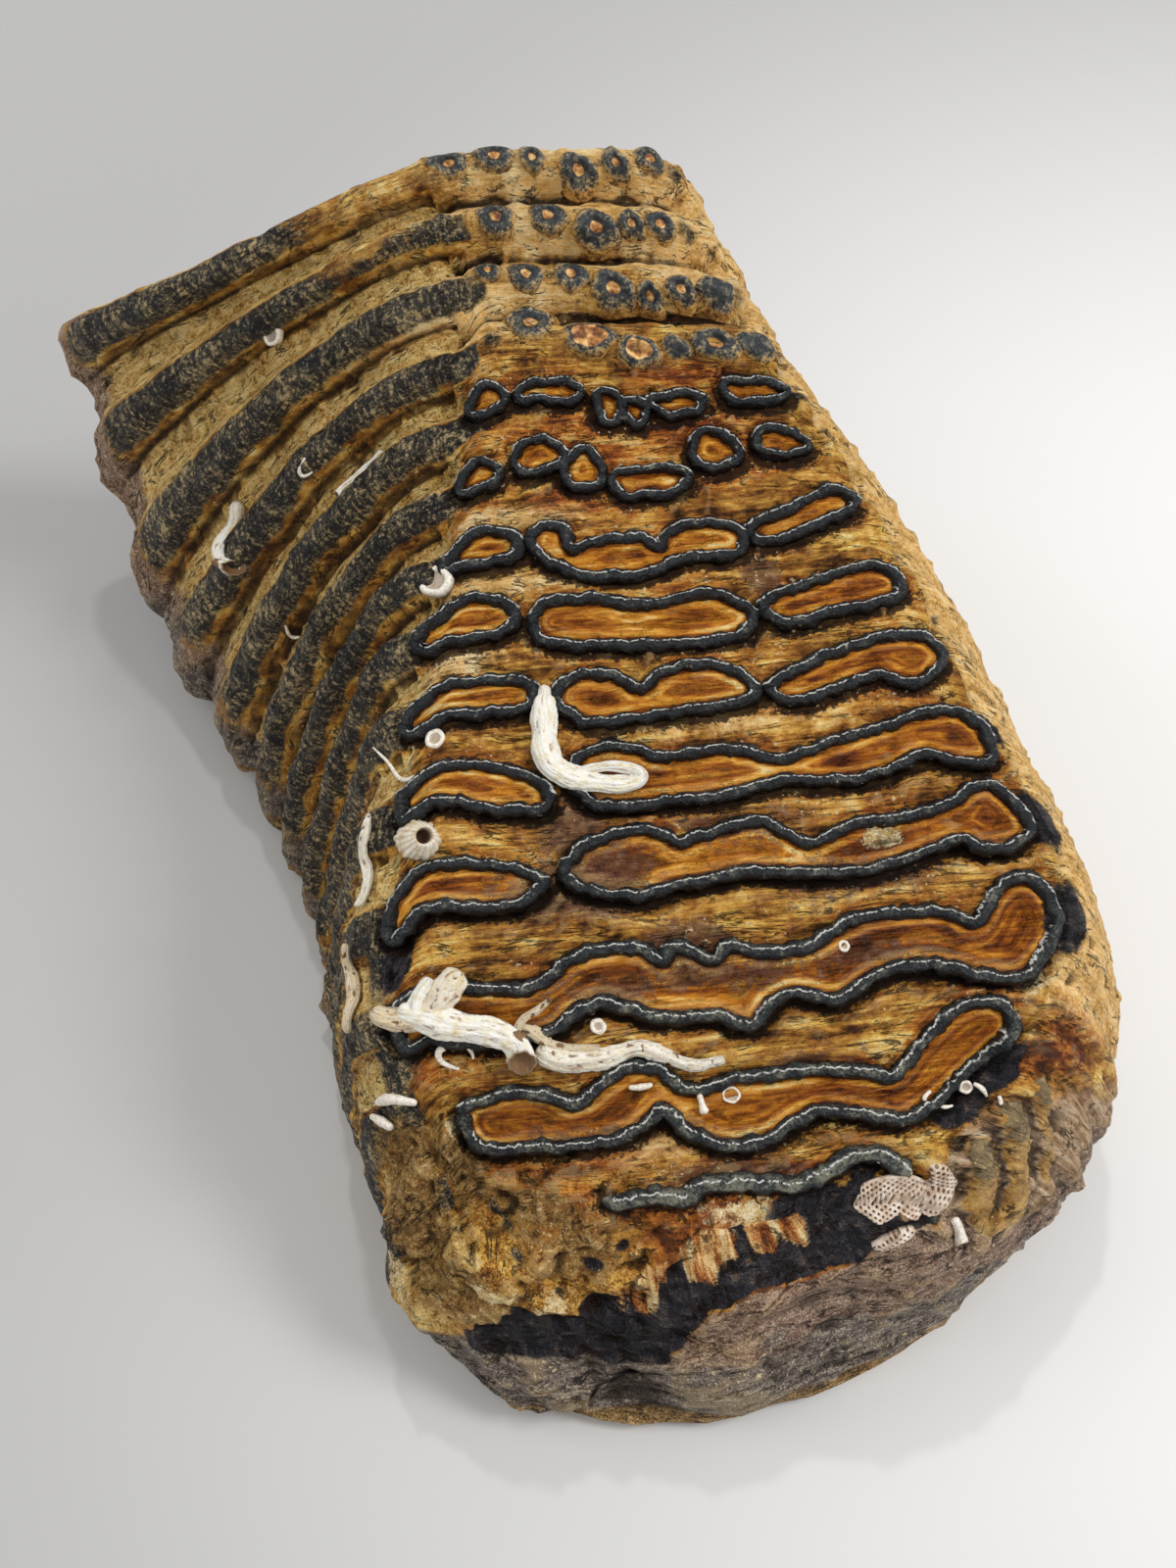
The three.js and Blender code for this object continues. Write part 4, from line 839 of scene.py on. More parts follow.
def tooth_skin(lines, relief):
    """The whole tooth as rings of points, with the shares of its zones at each point."""
    length, girth = length_lines()[:, None], girth_lines()[None, :]
    place = skin_place(length, girth)
    normal = skin_normal(*np.broadcast_arrays(length, girth))
    form = form_relief(place)
    place["skin"] = place["point"] + normal * form[..., None]
    growth = growth_place(place)
    distance, ahead, filled = enamel_fields(place, lines)
    zones = skin_zones(place, growth, filled, distance, ahead)
    detail = skin_detail(place, growth, zones, distance, ahead) * relief
    points = place["skin"] + normal * detail[..., None]
    points[..., 2] = np.maximum(points[..., 2], 0)
    zones["cavity"] = cavity(form * 0.6 + detail)
    zones["growth"] = growth
    zones["distance"] = np.minimum(distance, FAR_FROM_ENAMEL)
    zones["crumbly"] = (1 - zones["black"]) * (1 - zones["flank"]) * (1 - 0.8 * zones["dentine"])
    return points, zones


# ---------------- enamel ribbons and knobs

RIBBON_STEP = 0.27
# Profile of a ribbon from its outer foot over the crest to its inner foot: sideways and up, over its half
# width.
RIBBON_PROFILE = np.array([[1.0, -2.4], [1.03, -0.05], [0.93, 0.42], [0.72, 0.8], [0.4, 0.98], [0.0, 1.02],
                           [-0.4, 0.97], [-0.72, 0.78], [-0.93, 0.36], [-1.03, -0.1], [-1.0, -2.4]])
RIBBON_TAPER = 1.6  # mm over which an open ribbon's end tapers

KNOB_RINGS = np.concatenate([[1.16, 1.06], np.linspace(0.96, 0.04, 20)])  # from its foot to its middle
KNOB_SIDES = 36


def ribbon_line(row, number, wrinkle):
    """Places, run in mm, points, outward and sideways directions at even steps of an outline, whose points
    are waved sideways by two noises and a sine."""
    line = row["line"]
    points, _ = top_points(line)
    line, at = even_steps(line, points, RIBBON_STEP, row["closed"])
    centre, outward = top_points(line)
    following = np.roll(centre, -1, axis=0) - np.roll(centre, 1, axis=0)
    if not row["closed"]:
        following[0], following[-1] = centre[1] - centre[0], centre[-1] - centre[-2]
    sideways = unit(np.cross(outward, following))
    wave = 0.8 * noise(centre * 0.5, 22) + 0.9 * noise(centre * 0.95, 24)
    wave = wave + 0.3 * np.sin(at * 1.7 + 1.7 * number)
    return line, at, centre + sideways * (wrinkle * wave)[:, None], outward, sideways


def ribbon(row, number, height, wrinkle):
    """One enamel ribbon: its profile carried along the outline, its width, height and skin roughened by
    noise. Back is 1 on the side that faces the back of the tooth and -1 on the other."""
    line, at, centre, outward, sideways = ribbon_line(row, number, wrinkle)
    swell = 1 + 0.13 * noise(centre / 2.3, 21) + 0.08 * noise(centre * 1.1, 26)
    tall = 1 + 0.16 * noise(centre / 2.7, 23) - 0.3 * smooth(0.45, 0.9, noise(centre / 4, 25))
    end = np.ones_like(at)
    if not row["closed"]:
        end = np.minimum(1, np.minimum(at, at[-1] - at) / RIBBON_TAPER + 0.15)
    across, rise = RIBBON_PROFILE.T
    out = across * (row["width"] / 2 * swell * end)[:, None]
    up = np.where(rise > 0, rise * height, rise) * (tall * end)[:, None]
    rows = centre[:, None] + sideways[:, None] * out[..., None] + outward[:, None] * up[..., None]
    edge = smooth(0.3, 1, np.abs(across))
    rows = rows + sideways[:, None] * (1.6 * wrinkle * noise(rows * 1.25, 28) * edge)[..., None]
    crest = smooth(0.2, 0.9, rise)
    rows = rows + outward[:, None] * (0.9 * wrinkle * noise(rows * [1.5, 1.2, 1.2], 30) * crest)[..., None]
    one = np.ones_like(out)
    return rows, {"side": across * one, "along": at[:, None] * one, "plate": line[:, 1:2] * one,
                  "back": across * sideways[:, 1:2]}


def knob(across, plate, half_width, half_length, dot, number, height):
    """One knob of a hardly worn plate: a low dome whose crest is a ring of enamel round a dipped dentine
    core."""
    turn = np.linspace(0, 2 * np.pi, KNOB_SIDES, endpoint=False)[None]
    wave = 1 + 0.06 * np.sin(3 * turn + number) + 0.04 * np.sin(5 * turn + 2 * number)
    s = KNOB_RINGS[:, None] * np.ones_like(turn)
    line = np.stack([across + half_width * s * np.cos(turn) * wave,
                     plate + half_length * s * np.sin(turn) * wave], -1)
    base, outward = surface(line[..., 1], np.clip(line[..., 0], -1, 1), 1.0)
    crest = 0.5 if dot else 0.2
    dome = np.sqrt(np.clip(1 - ((s - crest) / (0.98 - crest)) ** 2, 0, 1))
    core = 1 - 0.35 * (1 - smooth(0.4 * crest, crest, s)) if dot else 1.0
    up = np.where(s > crest, dome, core) * height
    up = up + 0.12 * noise(base * 1.3, 27) - 0.9 * smooth(0.95, 1.1, s)
    inner = 1 - smooth(0.6 * dot, 0.6 * dot + 0.12, s) if dot else 0 * s
    return base + outward * up[..., None], {"side": s, "core": inner, "plate": 0 * s + plate}


# ---------------- what grew on the tooth

TUBE_STEP = 0.2
TUBE_SIDES = 40
# Rings added at the end of a tube: width and way forward, both over the tube's radius there, and share of
# inside.
ROUND_END = np.array([[0.96, 0.12, 0], [0.85, 0.35, 0], [0.62, 0.55, 0], [0.3, 0.7, 0]])
MOUTH = np.array([[1.1, 0, 0], [1.02, 0.12, 0.8], [0.86, 0.1, 1], [0.78, -0.5, 1], [0.7, -1.2, 1],
                  [0.6, -2, 1]])
MOUTH_TILT = 1.1  # slope by which a mouth leans back towards its upper edge
BARNACLE_LEAN = 0.55  # way sideways over height


def on_crown(*run):
    """A path of [plate, x, y] from plates and x in turn, on the chewing surface."""
    return [[plate, x, 1] for plate, x in zip(run[::2], run[1::2])]


def on_left(*run):
    """A path of [plate, x, y] from plates and y in turn, on the left flank."""
    return [[plate, -1, y] for plate, y in zip(run[::2], run[1::2])]


# Worm tubes: name, then tubes of one piece. Each has its path, radius in mm, height of its middle, widths
# from start to end over the radius, flatness, and where it has them pits, from 0 to 1, and an open mouth.
WORM_TUBES = {
    "hooked_worm_tube": [
        (on_crown(4.8, -0.473, 4.65, -0.476, 4.38, -0.476, 4.13, -0.46, 3.98, -0.407, 3.9, -0.34,
         3.85, -0.247, 3.87, -0.185, 3.93, -0.165, 4, -0.2, 4.05, -0.267, 4.04, -0.32, 4.01, -0.36), 1.75,
         0.9, [0.8, 1, 1, 1, 0.95, 0.76, 0.68, 0.6, 0.5, 0.42, 0.36, 0.3], 0.65, 0.1),
        (on_crown(4.94, -0.473, 4.86, -0.473, 4.79, -0.473), 0.85, 1, [0.8, 1, 1], 0.7)],
    "worm_tube_cluster": [
        (on_crown(2.1, -0.99, 1.98, -0.94, 1.86, -0.89, 1.74, -0.82), 1.6, 1.2, [0.8, 1, 1.05, 0.8], 0.8, 1),
        (on_crown(2.08, -0.81, 1.98, -0.83, 1.86, -0.85, 1.74, -0.82), 1.5, 1.9, [0.7, 0.9, 0.9, 0.7], 0.8,
         0.3),
        (on_crown(1.74, -0.83, 1.86, -0.8, 2, -0.76, 2.1, -0.735), 1.75, 2.1, [0.8, 0.9, 1.15, 0.95], 0.75,
         0.7),
        (on_crown(1.93, -0.89, 1.78, -0.84, 1.67, -0.79, 1.61, -0.74, 1.53, -0.66, 1.42, -0.6, 1.28, -0.57,
         1.14, -0.565), 1.8, 1.9, [0.7, 1.05, 1.1, 1, 0.95, 0.92, 0.92, 0.9], 0.8, 0.2, True),
        (on_crown(1.5, -0.57, 1.6, -0.553, 1.67, -0.513, 1.77, -0.478), 0.5, 0.7, [1.2, 1, 0.9, 0.75], 0.8, 1,
         True),
        (on_crown(1.5, -0.55, 1.42, -0.52, 1.3, -0.49), 0.8, 0.5, [1, 1.1, 1], 0.7, 1)],
    "long_worm_tube": [
        (on_crown(1.2, -0.5, 1.1, -0.43, 1.07, -0.34, 1.12, -0.273, 1.15, -0.213, 1.04, -0.14, 0.9, -0.06,
         0.9, 0.02, 0.92, 0.04), 1.25, 0.6, [1.2, 1.25, 1.15, 1, 0.9, 0.8, 0.7, 0.6, 0.5], 0.6, 0.6),
        (on_crown(1.3, -0.49, 1.22, -0.42, 1.2, -0.34), 0.65, 0.6, [1, 1, 0.6], 0.7, 1)],
    "flank_worm_tube": [
        (on_left(10.5, -0.3, 10.22, -0.34, 10, -0.35, 9.8, -0.32), 1.3, 0.9, [0.85, 1, 1, 0.92], 0.75, 0,
         True)],
    "thin_worm_tube": [
        (on_left(9.4, 0.55, 9.33, 0.47, 9.26, 0.41, 9.12, 0.38), 0.55, 0.8, [1.1, 1, 0.9, 0.8], 0.9, 0.1,
         True)],
    "edge_worm_tube_back": [
        (on_left(4.1, 0.9, 3.9, 0.88, 3.72, 0.85, 3.5, 0.85, 3.3, 0.82), 0.95, 0.7, [0.5, 0.9, 1, 0.9, 0.8],
         0.7, 0.6)],
    "edge_worm_tube_front": [
        (on_left(2.9, 0.76, 2.7, 0.72, 2.5, 0.73, 2.3, 0.74, 2.05, 0.74), 1.1, 0.7, [0.5, 0.9, 1.1, 1, 0.7],
         0.7, 1)],
}

# Small white and glassy growths. Curls are thin tubes along a path of [plate, x, y] or [length, girth]; rings
# lie flat about their centre.
CURLS = [
    (on_crown(1.43, -0.753, 1.37, -0.807, 1.28, -0.82, 1.17, -0.793, 1.12, -0.76), 0.4, 0.35, [0.9, 1.1, 1,
     0.8, 0.4]),
    (on_crown(1.4, -0.74, 1.33, -0.71, 1.22, -0.71), 0.32, 0.3, [0.6, 1, 0.5]),
    (on_crown(0.72, -0.235, 0.7, -0.207, 0.72, -0.17), 0.5, 0.3, [0.7, 1, 0.6]),
    (on_crown(0.55, -0.007, 0.46, 0.006, 0.37, 0.02), 0.42, 0.9, [0.8, 0.8, 1.3]),
    (on_crown(0.3, 0.8, 0.22, 0.78, 0.18, 0.81), 0.3, 0.4, [0.7, 1, 0.5]),
    (on_crown(0.16, 0.86, 0.1, 0.887, 0.12, 0.93), 0.3, 0.4, [0.7, 1, 0.5]),
    ([[0.34, 0.97, 1], [0.3, 1, 0.98], [0.22, 1, 0.93]], 0.34, 0.4, [0.7, 1, 0.5]),
    ([[0.24, 1, 0.88], [0.18, 1, 0.85], [0.1, 1, 0.86]], 0.34, 0.4, [0.7, 1, 0.5]),
    (on_left(9.95, 0.2, 9.87, 0.153, 9.8, 0.16, 9.78, 0.2), 0.3, 0.4, [0.7, 1, 1, 0.5]),
    (on_left(8.72, -0.2, 8.65, -0.24, 8.58, -0.21), 0.35, 0.4, [0.7, 1, 0.6]),
    ([[1.2, -1, 0.78], [1.19, -1, 0.9], [1.12, -0.99, 1], [1.03, -0.95, 1]], 0.75, 0.3, [0.6, 1, 0.9, 0.5]),
    (on_left(1.1, 0.68, 1, 0.76, 0.9, 0.8), 0.8, 0.3, [0.6, 1, 0.7]),
    ([[4.85, -1, 0.85], [4.6, -1, 0.93], [4.35, -0.95, 1], [4.15, -0.82, 1]], 0.28, 0.4, [0.4, 1, 1, 0.5]),
    (on_crown(-0.3, 0.7, -0.4, 0.76, -0.42, 0.82), 0.45, 0.3, [0.6, 1, 0.6]),
    ([[-0.02, 1.14], [-0.05, 1.185], [-0.085, 1.233]], 0.75, 0.9, [0.7, 0.9, 1.1], 0.8, 1, True),
]
# Flat rings: plate, x, y, radius of the ring, its thickness, height share of a filled middle.
FLAT_RINGS = [
    (6.81, -0.95, 1, 1.75, 0.45, 0.3), (4.54, -0.847, 1, 1.0, 0.3, 0.4), (1.43, -0.34, 1, 0.75, 0.28, 0.5),
    (0.51, 0.1, 1, 0.95, 0.16, 0.0), (2.01, 0.347, 1, 0.55, 0.2, 0.2), (11.72, -1, 0.133, 1.2, 0.3, 0.2),
    (0.3, 0.95, 1, 0.7, 0.22, 0.2),
]


def tube_base(line):
    """Points and outward directions under a tube, whose line is in [plate, x, y] or in [length, girth]."""
    if line.shape[1] == 3:
        return surface(*line.T)
    return skin_points(*line.T, 0.0), skin_normal(*line.T)


def tube_line(path, step):
    """Run in mm and, at even steps along a path, points on the surface, each the mean of seven, with their
    outward, forward and sideways directions."""
    line = curve(path, 40 * len(path), False)
    points, _ = tube_base(line)
    line, at = even_steps(line, points, step, False)
    base, outward = tube_base(line)
    kernel = np.ones(7) / 7
    base = np.stack([np.convolve(np.pad(base[:, n], 3, mode="reflect", reflect_type="odd"), kernel, "valid")
                     for n in range(3)], -1)
    forward = unit(np.gradient(base, axis=0))
    return at, base, outward, forward, unit(np.cross(outward, forward))


def tube_section(run, turn, seed):
    """Width of a tube over its own, along and round it: low waves, a keel on top with a groove beside it,
    growth rings and slow bulges."""
    twist = turn + 0.12 * np.sin(run * 0.9 + seed)
    waves = 1 + 0.06 * np.cos(3 * twist + seed) + 0.05 * np.cos(8 * twist + 2 * seed)
    keel = 0.14 * smooth(0.75, 1, np.sin(twist)) - 0.06 * smooth(0.85, 1, np.sin(twist + 0.75))
    rings = 0.012 * np.sin(run * 6.3 + 3 * np.sin(run * 0.8) + np.sin(turn))
    return waves + keel + rings + 0.06 * np.sin(run * 1.1 + 2 * seed)


def tube_shell(path, radius, lift, widths, flat=0.8, pits=0.0, mouth=False, seed=0.0, sides=TUBE_SIDES,
               step=TUBE_STEP, size=1.0):
    """One tube: rings of points carried along a path, with pits, a rounded start, and an end that is rounded
    too or turned in as an open mouth."""
    radius, lift = radius * size, lift * size
    at, base, outward, forward, sideways = tube_line(path, step)
    own = radius * np.interp(at / at[-1], np.linspace(0, 1, len(widths)), widths)
    start, end = ROUND_END[::-1], MOUTH if mouth else ROUND_END
    rows = np.concatenate([np.zeros(len(start), int), np.arange(len(at)), np.full(len(end), len(at) - 1)])
    width = np.concatenate([start[:, 0], np.ones(len(at)), end[:, 0]])
    shift = np.concatenate([-start[:, 1] * own[0], 0 * at, end[:, 1] * own[-1]])
    within = np.concatenate([start[:, 2], 0 * at, end[:, 2]])[:, None]
    turn = np.linspace(0, 2 * np.pi, sides, endpoint=False)[None]
    run = (at[rows] + shift)[:, None]
    r = (own[rows] * width)[:, None] * tube_section(run, turn, seed)
    up = flat * r * np.sin(turn)
    opened = smooth(2.2 * radius, 0.3 * radius, at[-1] - at[rows])[:, None] * mouth
    back = MOUTH_TILT * opened * up
    centre = (base[rows] + outward[rows] * lift + forward[rows] * shift[:, None])[:, None]
    grid = (centre + sideways[rows][:, None] * (r * np.cos(turn))[..., None]
            + outward[rows][:, None] * up[..., None] - forward[rows][:, None] * back[..., None])
    pit = smooth(0.42, 0.7, noise(grid / 0.62, 31)) * pits + 0.25 * smooth(0.5, 0.8, noise(grid / 0.8, 33))
    rough_skin = (0.07 * rough(grid / 0.9, 35) + 0.13 * noise(grid / 2.1, 37)) * min(radius, 1.2)
    out = (rough_skin - 0.3 * pit * min(radius, 1.0)) * (1 - within)
    one = np.ones_like(r)
    return grid + unit(grid - centre) * out[..., None], {
        "along": run * one, "around": turn * one, "inside": within * one, "pit": pit, "pitted": pits * one}


def joined(grids, closed=None):
    """Shells and attributes of several (grid, values) pairs, as one piece. Closed says of each grid whether
    its rows close; without it none does."""
    closed = closed or [False] * len(grids)
    shells = [shell(grid, loop) for (grid, _), loop in zip(grids, closed)]
    attributes = {key: np.concatenate([values[key].ravel() if loop else with_poles(values[key])
                                       for (_, values), loop in zip(grids, closed)]) for key in grids[0][1]}
    return shells, attributes


def turned_grid(plate, x, y, profile, sides, wave, lean=0.0):
    """A profile of (radius, height, inside) rows turned about the surface's outward direction at one place,
    its rows shifted sideways by lean times their height."""
    base, outward = (v[0] for v in surface([plate], [x], [y]))
    sideways = unit(np.cross([0.0, 1.0, 0.0], outward))
    forward = np.cross(outward, sideways)
    radius, height, within = np.array(profile).T[..., None]
    turn = np.linspace(0, 2 * np.pi, sides, endpoint=False)[None]
    r = radius * wave(turn, radius)
    one = np.ones_like(r)
    grid = (base + sideways * (r * np.cos(turn))[..., None] + forward * (r * np.sin(turn))[..., None]
            + (outward + lean * sideways) * (height * one)[..., None])
    return grid, {"along": height * one, "around": turn * one, "inside": within * one, "pit": 0 * r,
                  "pitted": 0 * r}


def barnacle_grid(size):
    """A low ribbed cone of six wall plates, leaning, with a ragged rim and a mouth that goes down into it."""
    profile = [[2.5, -0.9, 0], [2.6, 0.0, 0], [2.5, 0.3, 0], [2.3, 0.75, 0], [2.05, 1.2, 0], [1.75, 1.7, 0],
               [1.5, 2.1, 0], [1.32, 2.3, 0], [1.12, 2.28, 0.1], [1.0, 2.05, 0.5], [0.9, 1.5, 1], [0.8, 0.9, 1],
               [0.5, 0.6, 1]]

    def wave(turn, r):
        ribs = 0.05 * np.abs(np.sin(9 * turn)) + 0.09 * smooth(0.86, 1, np.abs(np.cos(3 * turn + 0.4)))
        return 1 + (ribs + 0.08 * np.cos(2 * turn + 1)) * smooth(0.9, 2.2, r)

    return turned_grid(3.57, -0.865, 1, np.array(profile) * [size, size, 1], 108, wave, BARNACLE_LEAN)


def ring_grid(plate, x, y, radius, thick, filled):
    """A flat ring, its middle filled to a share of its height."""
    shoulder = 0.15 + 0.6 * thick
    profile = [[radius * 1.02 + thick, -0.7, 0], [radius + thick, 0.15, 0], [radius + 0.8 * thick, shoulder, 0],
               [radius, 0.15 + thick, 0], [radius - 0.8 * thick, shoulder, 0],
               [radius - thick, 0.12 + thick * filled, 0.7], [0.3 * radius, 0.06 + thick * filled, 0.8]]

    def wave(turn, _):
        return 1 + 0.06 * np.cos(2 * turn + plate) + 0.03 * np.cos(5 * turn)

    return turned_grid(plate, x, y, profile, 48, wave)


# Sheets of bryozoan on the front right corner: outline and centre as [length, girth], width of a cell and
# thickness of the sheet in mm.
MATS = [
    dict(outline=[[0.001, 0.862], [0.008, 0.873], [0.011, 0.93], [0.007, 0.99], [0.001, 1.017], [-0.045, 1.035],
                  [-0.09, 1.03], [-0.06, 0.985], [-0.11, 0.95], [-0.118, 0.93], [-0.068, 0.895], [-0.03, 0.87]],
         centre=[-0.03, 0.945], cell=0.6, thick=0.45, worn_rim=True),
    dict(outline=[[0.016, 0.983], [0.02, 1.0], [0.012, 1.05], [0.004, 1.085], [-0.02, 1.085], [-0.05, 1.06],
                  [-0.045, 1.035], [0.004, 1.01]], centre=[-0.005, 1.045], cell=0.7, thick=0.75),
    dict(outline=[[-0.13, 1.04], [-0.155, 1.055], [-0.2, 1.045], [-0.25, 1.02], [-0.285, 0.99], [-0.265, 0.965],
                  [-0.21, 0.975], [-0.16, 1.0]], centre=[-0.2, 1.01], cell=0.62, thick=0.55),
]
MAT_RINGS = np.concatenate([[0.5, 0.98, 1.02], np.linspace(1, 0.02, 56)])  # three under it, then edge to middle


def mat_grid(outline, centre, cell, thick, depth, worn_rim=False):
    """A thin sheet over its outline, thinning to its edge, pitted by a honeycomb: three cosines, 60° apart,
    summed. With a worn rim it has no cells where it lies on the chewing surface."""
    ring = curve(outline, 300, True)
    s = MAT_RINGS[:, None]
    place = np.array(centre) + s[..., None] * (ring - centre)[None]
    flat = skin_points(place[..., 0], place[..., 1], 0.0)
    middle = flat.reshape(-1, 3).mean(0)
    normal = skin_normal(*np.array(centre)[:, None])[0]
    u = unit(np.cross(normal, [0.0, 0.0, 1.0]))
    a, b = (flat - middle) @ u, (flat - middle) @ np.cross(u, normal)
    a, b = a + 0.12 * noise(flat / 1.7, 41), b + 0.12 * noise(flat / 1.7, 43)
    k = 4 * np.pi / (np.sqrt(3) * cell)
    comb = sum(np.cos(k * (a * np.cos(t) + b * np.sin(t))) for t in (0, np.pi / 3, 2 * np.pi / 3))
    shown = smooth(0.014, 0.004, place[..., 0]) if worn_rim else np.ones_like(comb)
    pit = smooth(-0.3, 1.2, comb) * shown
    lift = thick * (1 - np.minimum(s, 1) ** 6) + 0.15 + 0.1 * noise(flat / 0.9, 45) + 0.3 * (1 - shown)
    lift = lift - depth * pit * smooth(1.0, 0.94, s)
    lift[:2] = -0.8
    lift[2] = -0.1
    return skin_points(place[..., 0], place[..., 1], lift), {"pit": pit, "inside": 0 * pit}


# ---------------- finishes

class Value:
    """An output of one of a finish's nodes. Its sums, differences and products each add a node."""

    def __init__(self, finish, socket):
        self.finish, self.socket = finish, socket

    def __add__(self, other):
        return self.finish.math("ADD", self, other)

    def __sub__(self, other):
        return self.finish.math("SUBTRACT", self, other)

    def __rsub__(self, other):
        return self.finish.math("SUBTRACT", other, self)

    def __mul__(self, other):
        return self.finish.math("MULTIPLY", self, other)

    def __abs__(self):
        return self.finish.math("ABSOLUTE", self)

    __radd__, __rmul__ = __add__, __mul__


def contrast(value, gain):
    """A value moved further from 0.5 by gain times its distance."""
    return value + gain * (value - 0.5)


class Finish:
    """One procedural material. Most methods add a node and return its output, to be read by the next."""

    def __init__(self, name):
        self.material = bpy.data.materials.new(name)
        self.material.use_nodes = True
        self.tree = self.material.node_tree
        self.shader = self.tree.nodes["Principled BSDF"]
        self.colour = None

    def put(self, node, socket, value):
        """Links a Value to a socket, or sets the socket to a bare number, vector or colour."""
        target = node.inputs[socket]
        if isinstance(value, Value):
            self.tree.links.new(value.socket, target)
        else:
            target.default_value = (*value, 1) if target.type == "RGBA" else value

    def node(self, kind, output=0, inputs=None, **settings):
        node = self.tree.nodes.new("ShaderNode" + kind)
        for key, value in settings.items():
            setattr(node, key, value)
        for socket, value in (inputs or {}).items():
            self.put(node, socket, value)
        return Value(self, node.outputs[output])

    def share(self, name):
        """A float stored on the piece's vertices."""
        return self.node("Attribute", "Fac", attribute_name=name)

    def place(self, name=None):
        """Object coordinates in mm, or a vector stored on the vertices."""
        if name:
            return self.node("Attribute", "Vector", attribute_name=name)
        return self.scaled(self.node("TexCoord", "Object"), 1000, 1000, 1000)

    def scaled(self, vector, x, y, z):
        return self.node("VectorMath", inputs={0: vector, 1: (x, y, z)}, operation="MULTIPLY")

    def vector(self, x, y, z=0.0):
        return self.node("CombineXYZ", 0, {0: x, 1: y, 2: z})

    def noise(self, vector, scale, detail=4.0, roughness=0.6, distortion=0.0):
        return self.node("TexNoise", "Fac", {"Vector": vector, "Scale": scale, "Detail": detail,
                                             "Roughness": roughness, "Distortion": distortion})

    def cells(self, vector, scale):
        """Distance to the nearest of many scattered points."""
        return self.node("TexVoronoi", "Distance", {"Vector": vector, "Scale": scale})

    def step(self, value, low, high):
        """0 below low, 1 above high, eased between; low above high turns it round."""
        return self.node("MapRange", 0, {"Value": value, "From Min": low, "From Max": high},
                         interpolation_type="SMOOTHSTEP")

    def math(self, operation, a, b=0.0):
        return self.node("Math", 0, {0: a, 1: b}, operation=operation)

    def blend(self, share, a, b, mode="MIX"):
        return self.node("Mix", 2, {0: share, 6: a, 7: b}, data_type="RGBA", blend_type=mode)

    def paint(self, share, colour, most=1.0):
        """Lays a colour over the present one, by a share times most."""
        self.colour = self.blend(share * most, self.colour, colour)

    def tinted(self, tint):
        self.colour = self.blend(1.0, self.colour, tuple(tint), "MULTIPLY")

    def ramp(self, value, stops):
        """A colour for each value, blended between stops of place, red, green and blue."""
        output = self.node("ValToRGB", 0, {0: value})
        elements = output.socket.node.color_ramp.elements
        for n, (place, *colour) in enumerate(stops):
            element = elements[n] if n < 2 else elements.new(place)
            element.position, element.color = place, (*colour, 1)
        return output

    def done(self, roughness, height, strength=1.0, distance=0.3, **settings):
        """Links colour, roughness and bump, whose height is in parts of distance, in mm, to the shader."""
        self.put(self.shader, "Base Color", self.colour)
        self.put(self.shader, "Roughness", roughness)
        bump = self.node("Bump", 0, {"Strength": strength, "Distance": distance * MM, "Height": height})
        self.put(self.shader, "Normal", bump)
        for socket, value in settings.items():
            self.put(self.shader, socket.replace("_", " "), value)
        return self.material


# Palettes: stops of place, red, green and blue, from a noise's low values to its high ones.
CEMENTUM = [(0.3, 0.045, 0.015, 0.003), (0.4, 0.24, 0.09, 0.012), (0.5, 0.52, 0.25, 0.04),
            (0.6, 0.82, 0.5, 0.105), (0.7, 1.0, 0.82, 0.36)]
DENTINE = [(0.34, 0.08, 0.016, 0.003), (0.45, 0.3, 0.078, 0.007), (0.55, 0.56, 0.195, 0.015),
           (0.64, 0.82, 0.38, 0.045), (0.74, 0.98, 0.75, 0.32)]
PALE = [(0.32, 0.2, 0.085, 0.016), (0.42, 0.54, 0.3, 0.07), (0.52, 0.92, 0.57, 0.2),
        (0.64, 1.0, 0.8, 0.44)]
STEM = [(0.38, 0.1, 0.04, 0.008), (0.48, 0.38, 0.19, 0.04), (0.58, 0.66, 0.4, 0.12)]
STRAND = [(0.38, 0.17, 0.085, 0.04), (0.48, 0.38, 0.25, 0.15), (0.56, 0.58, 0.42, 0.28),
          (0.66, 0.82, 0.68, 0.5)]
RUST = [(0.36, 0.07, 0.013, 0.004), (0.48, 0.34, 0.075, 0.01), (0.57, 0.62, 0.22, 0.025),
        (0.68, 0.86, 0.52, 0.15)]
PURPLE = [(0.36, 0.03, 0.011, 0.008), (0.52, 0.13, 0.056, 0.034), (0.66, 0.34, 0.19, 0.11)]
ENAMEL_DARK = [(0.37, 0.006, 0.009, 0.013), (0.47, 0.024, 0.03, 0.035), (0.54, 0.085, 0.084, 0.064),
               (0.61, 0.22, 0.17, 0.095), (0.7, 0.52, 0.39, 0.2)]
ENAMEL_GLAZE = [(0.44, 0.002, 0.003, 0.005), (0.54, 0.007, 0.01, 0.014), (0.61, 0.032, 0.038, 0.036),
                (0.7, 0.18, 0.175, 0.13)]
ROOT = [(0.36, 0.06, 0.026, 0.017), (0.46, 0.19, 0.115, 0.082), (0.56, 0.38, 0.26, 0.19),
        (0.68, 0.68, 0.52, 0.38)]
STAIN = [(0.36, 0.028, 0.024, 0.023), (0.47, 0.115, 0.098, 0.085), (0.57, 0.27, 0.225, 0.185),
         (0.68, 0.6, 0.5, 0.38)]
BLACK = [(0.34, 0.003, 0.003, 0.004), (0.48, 0.012, 0.011, 0.015), (0.6, 0.05, 0.043, 0.048),
         (0.72, 0.2, 0.125, 0.075)]
EARTH = [(0.36, 0.06, 0.028, 0.007), (0.5, 0.26, 0.135, 0.036), (0.66, 0.6, 0.4, 0.15)]
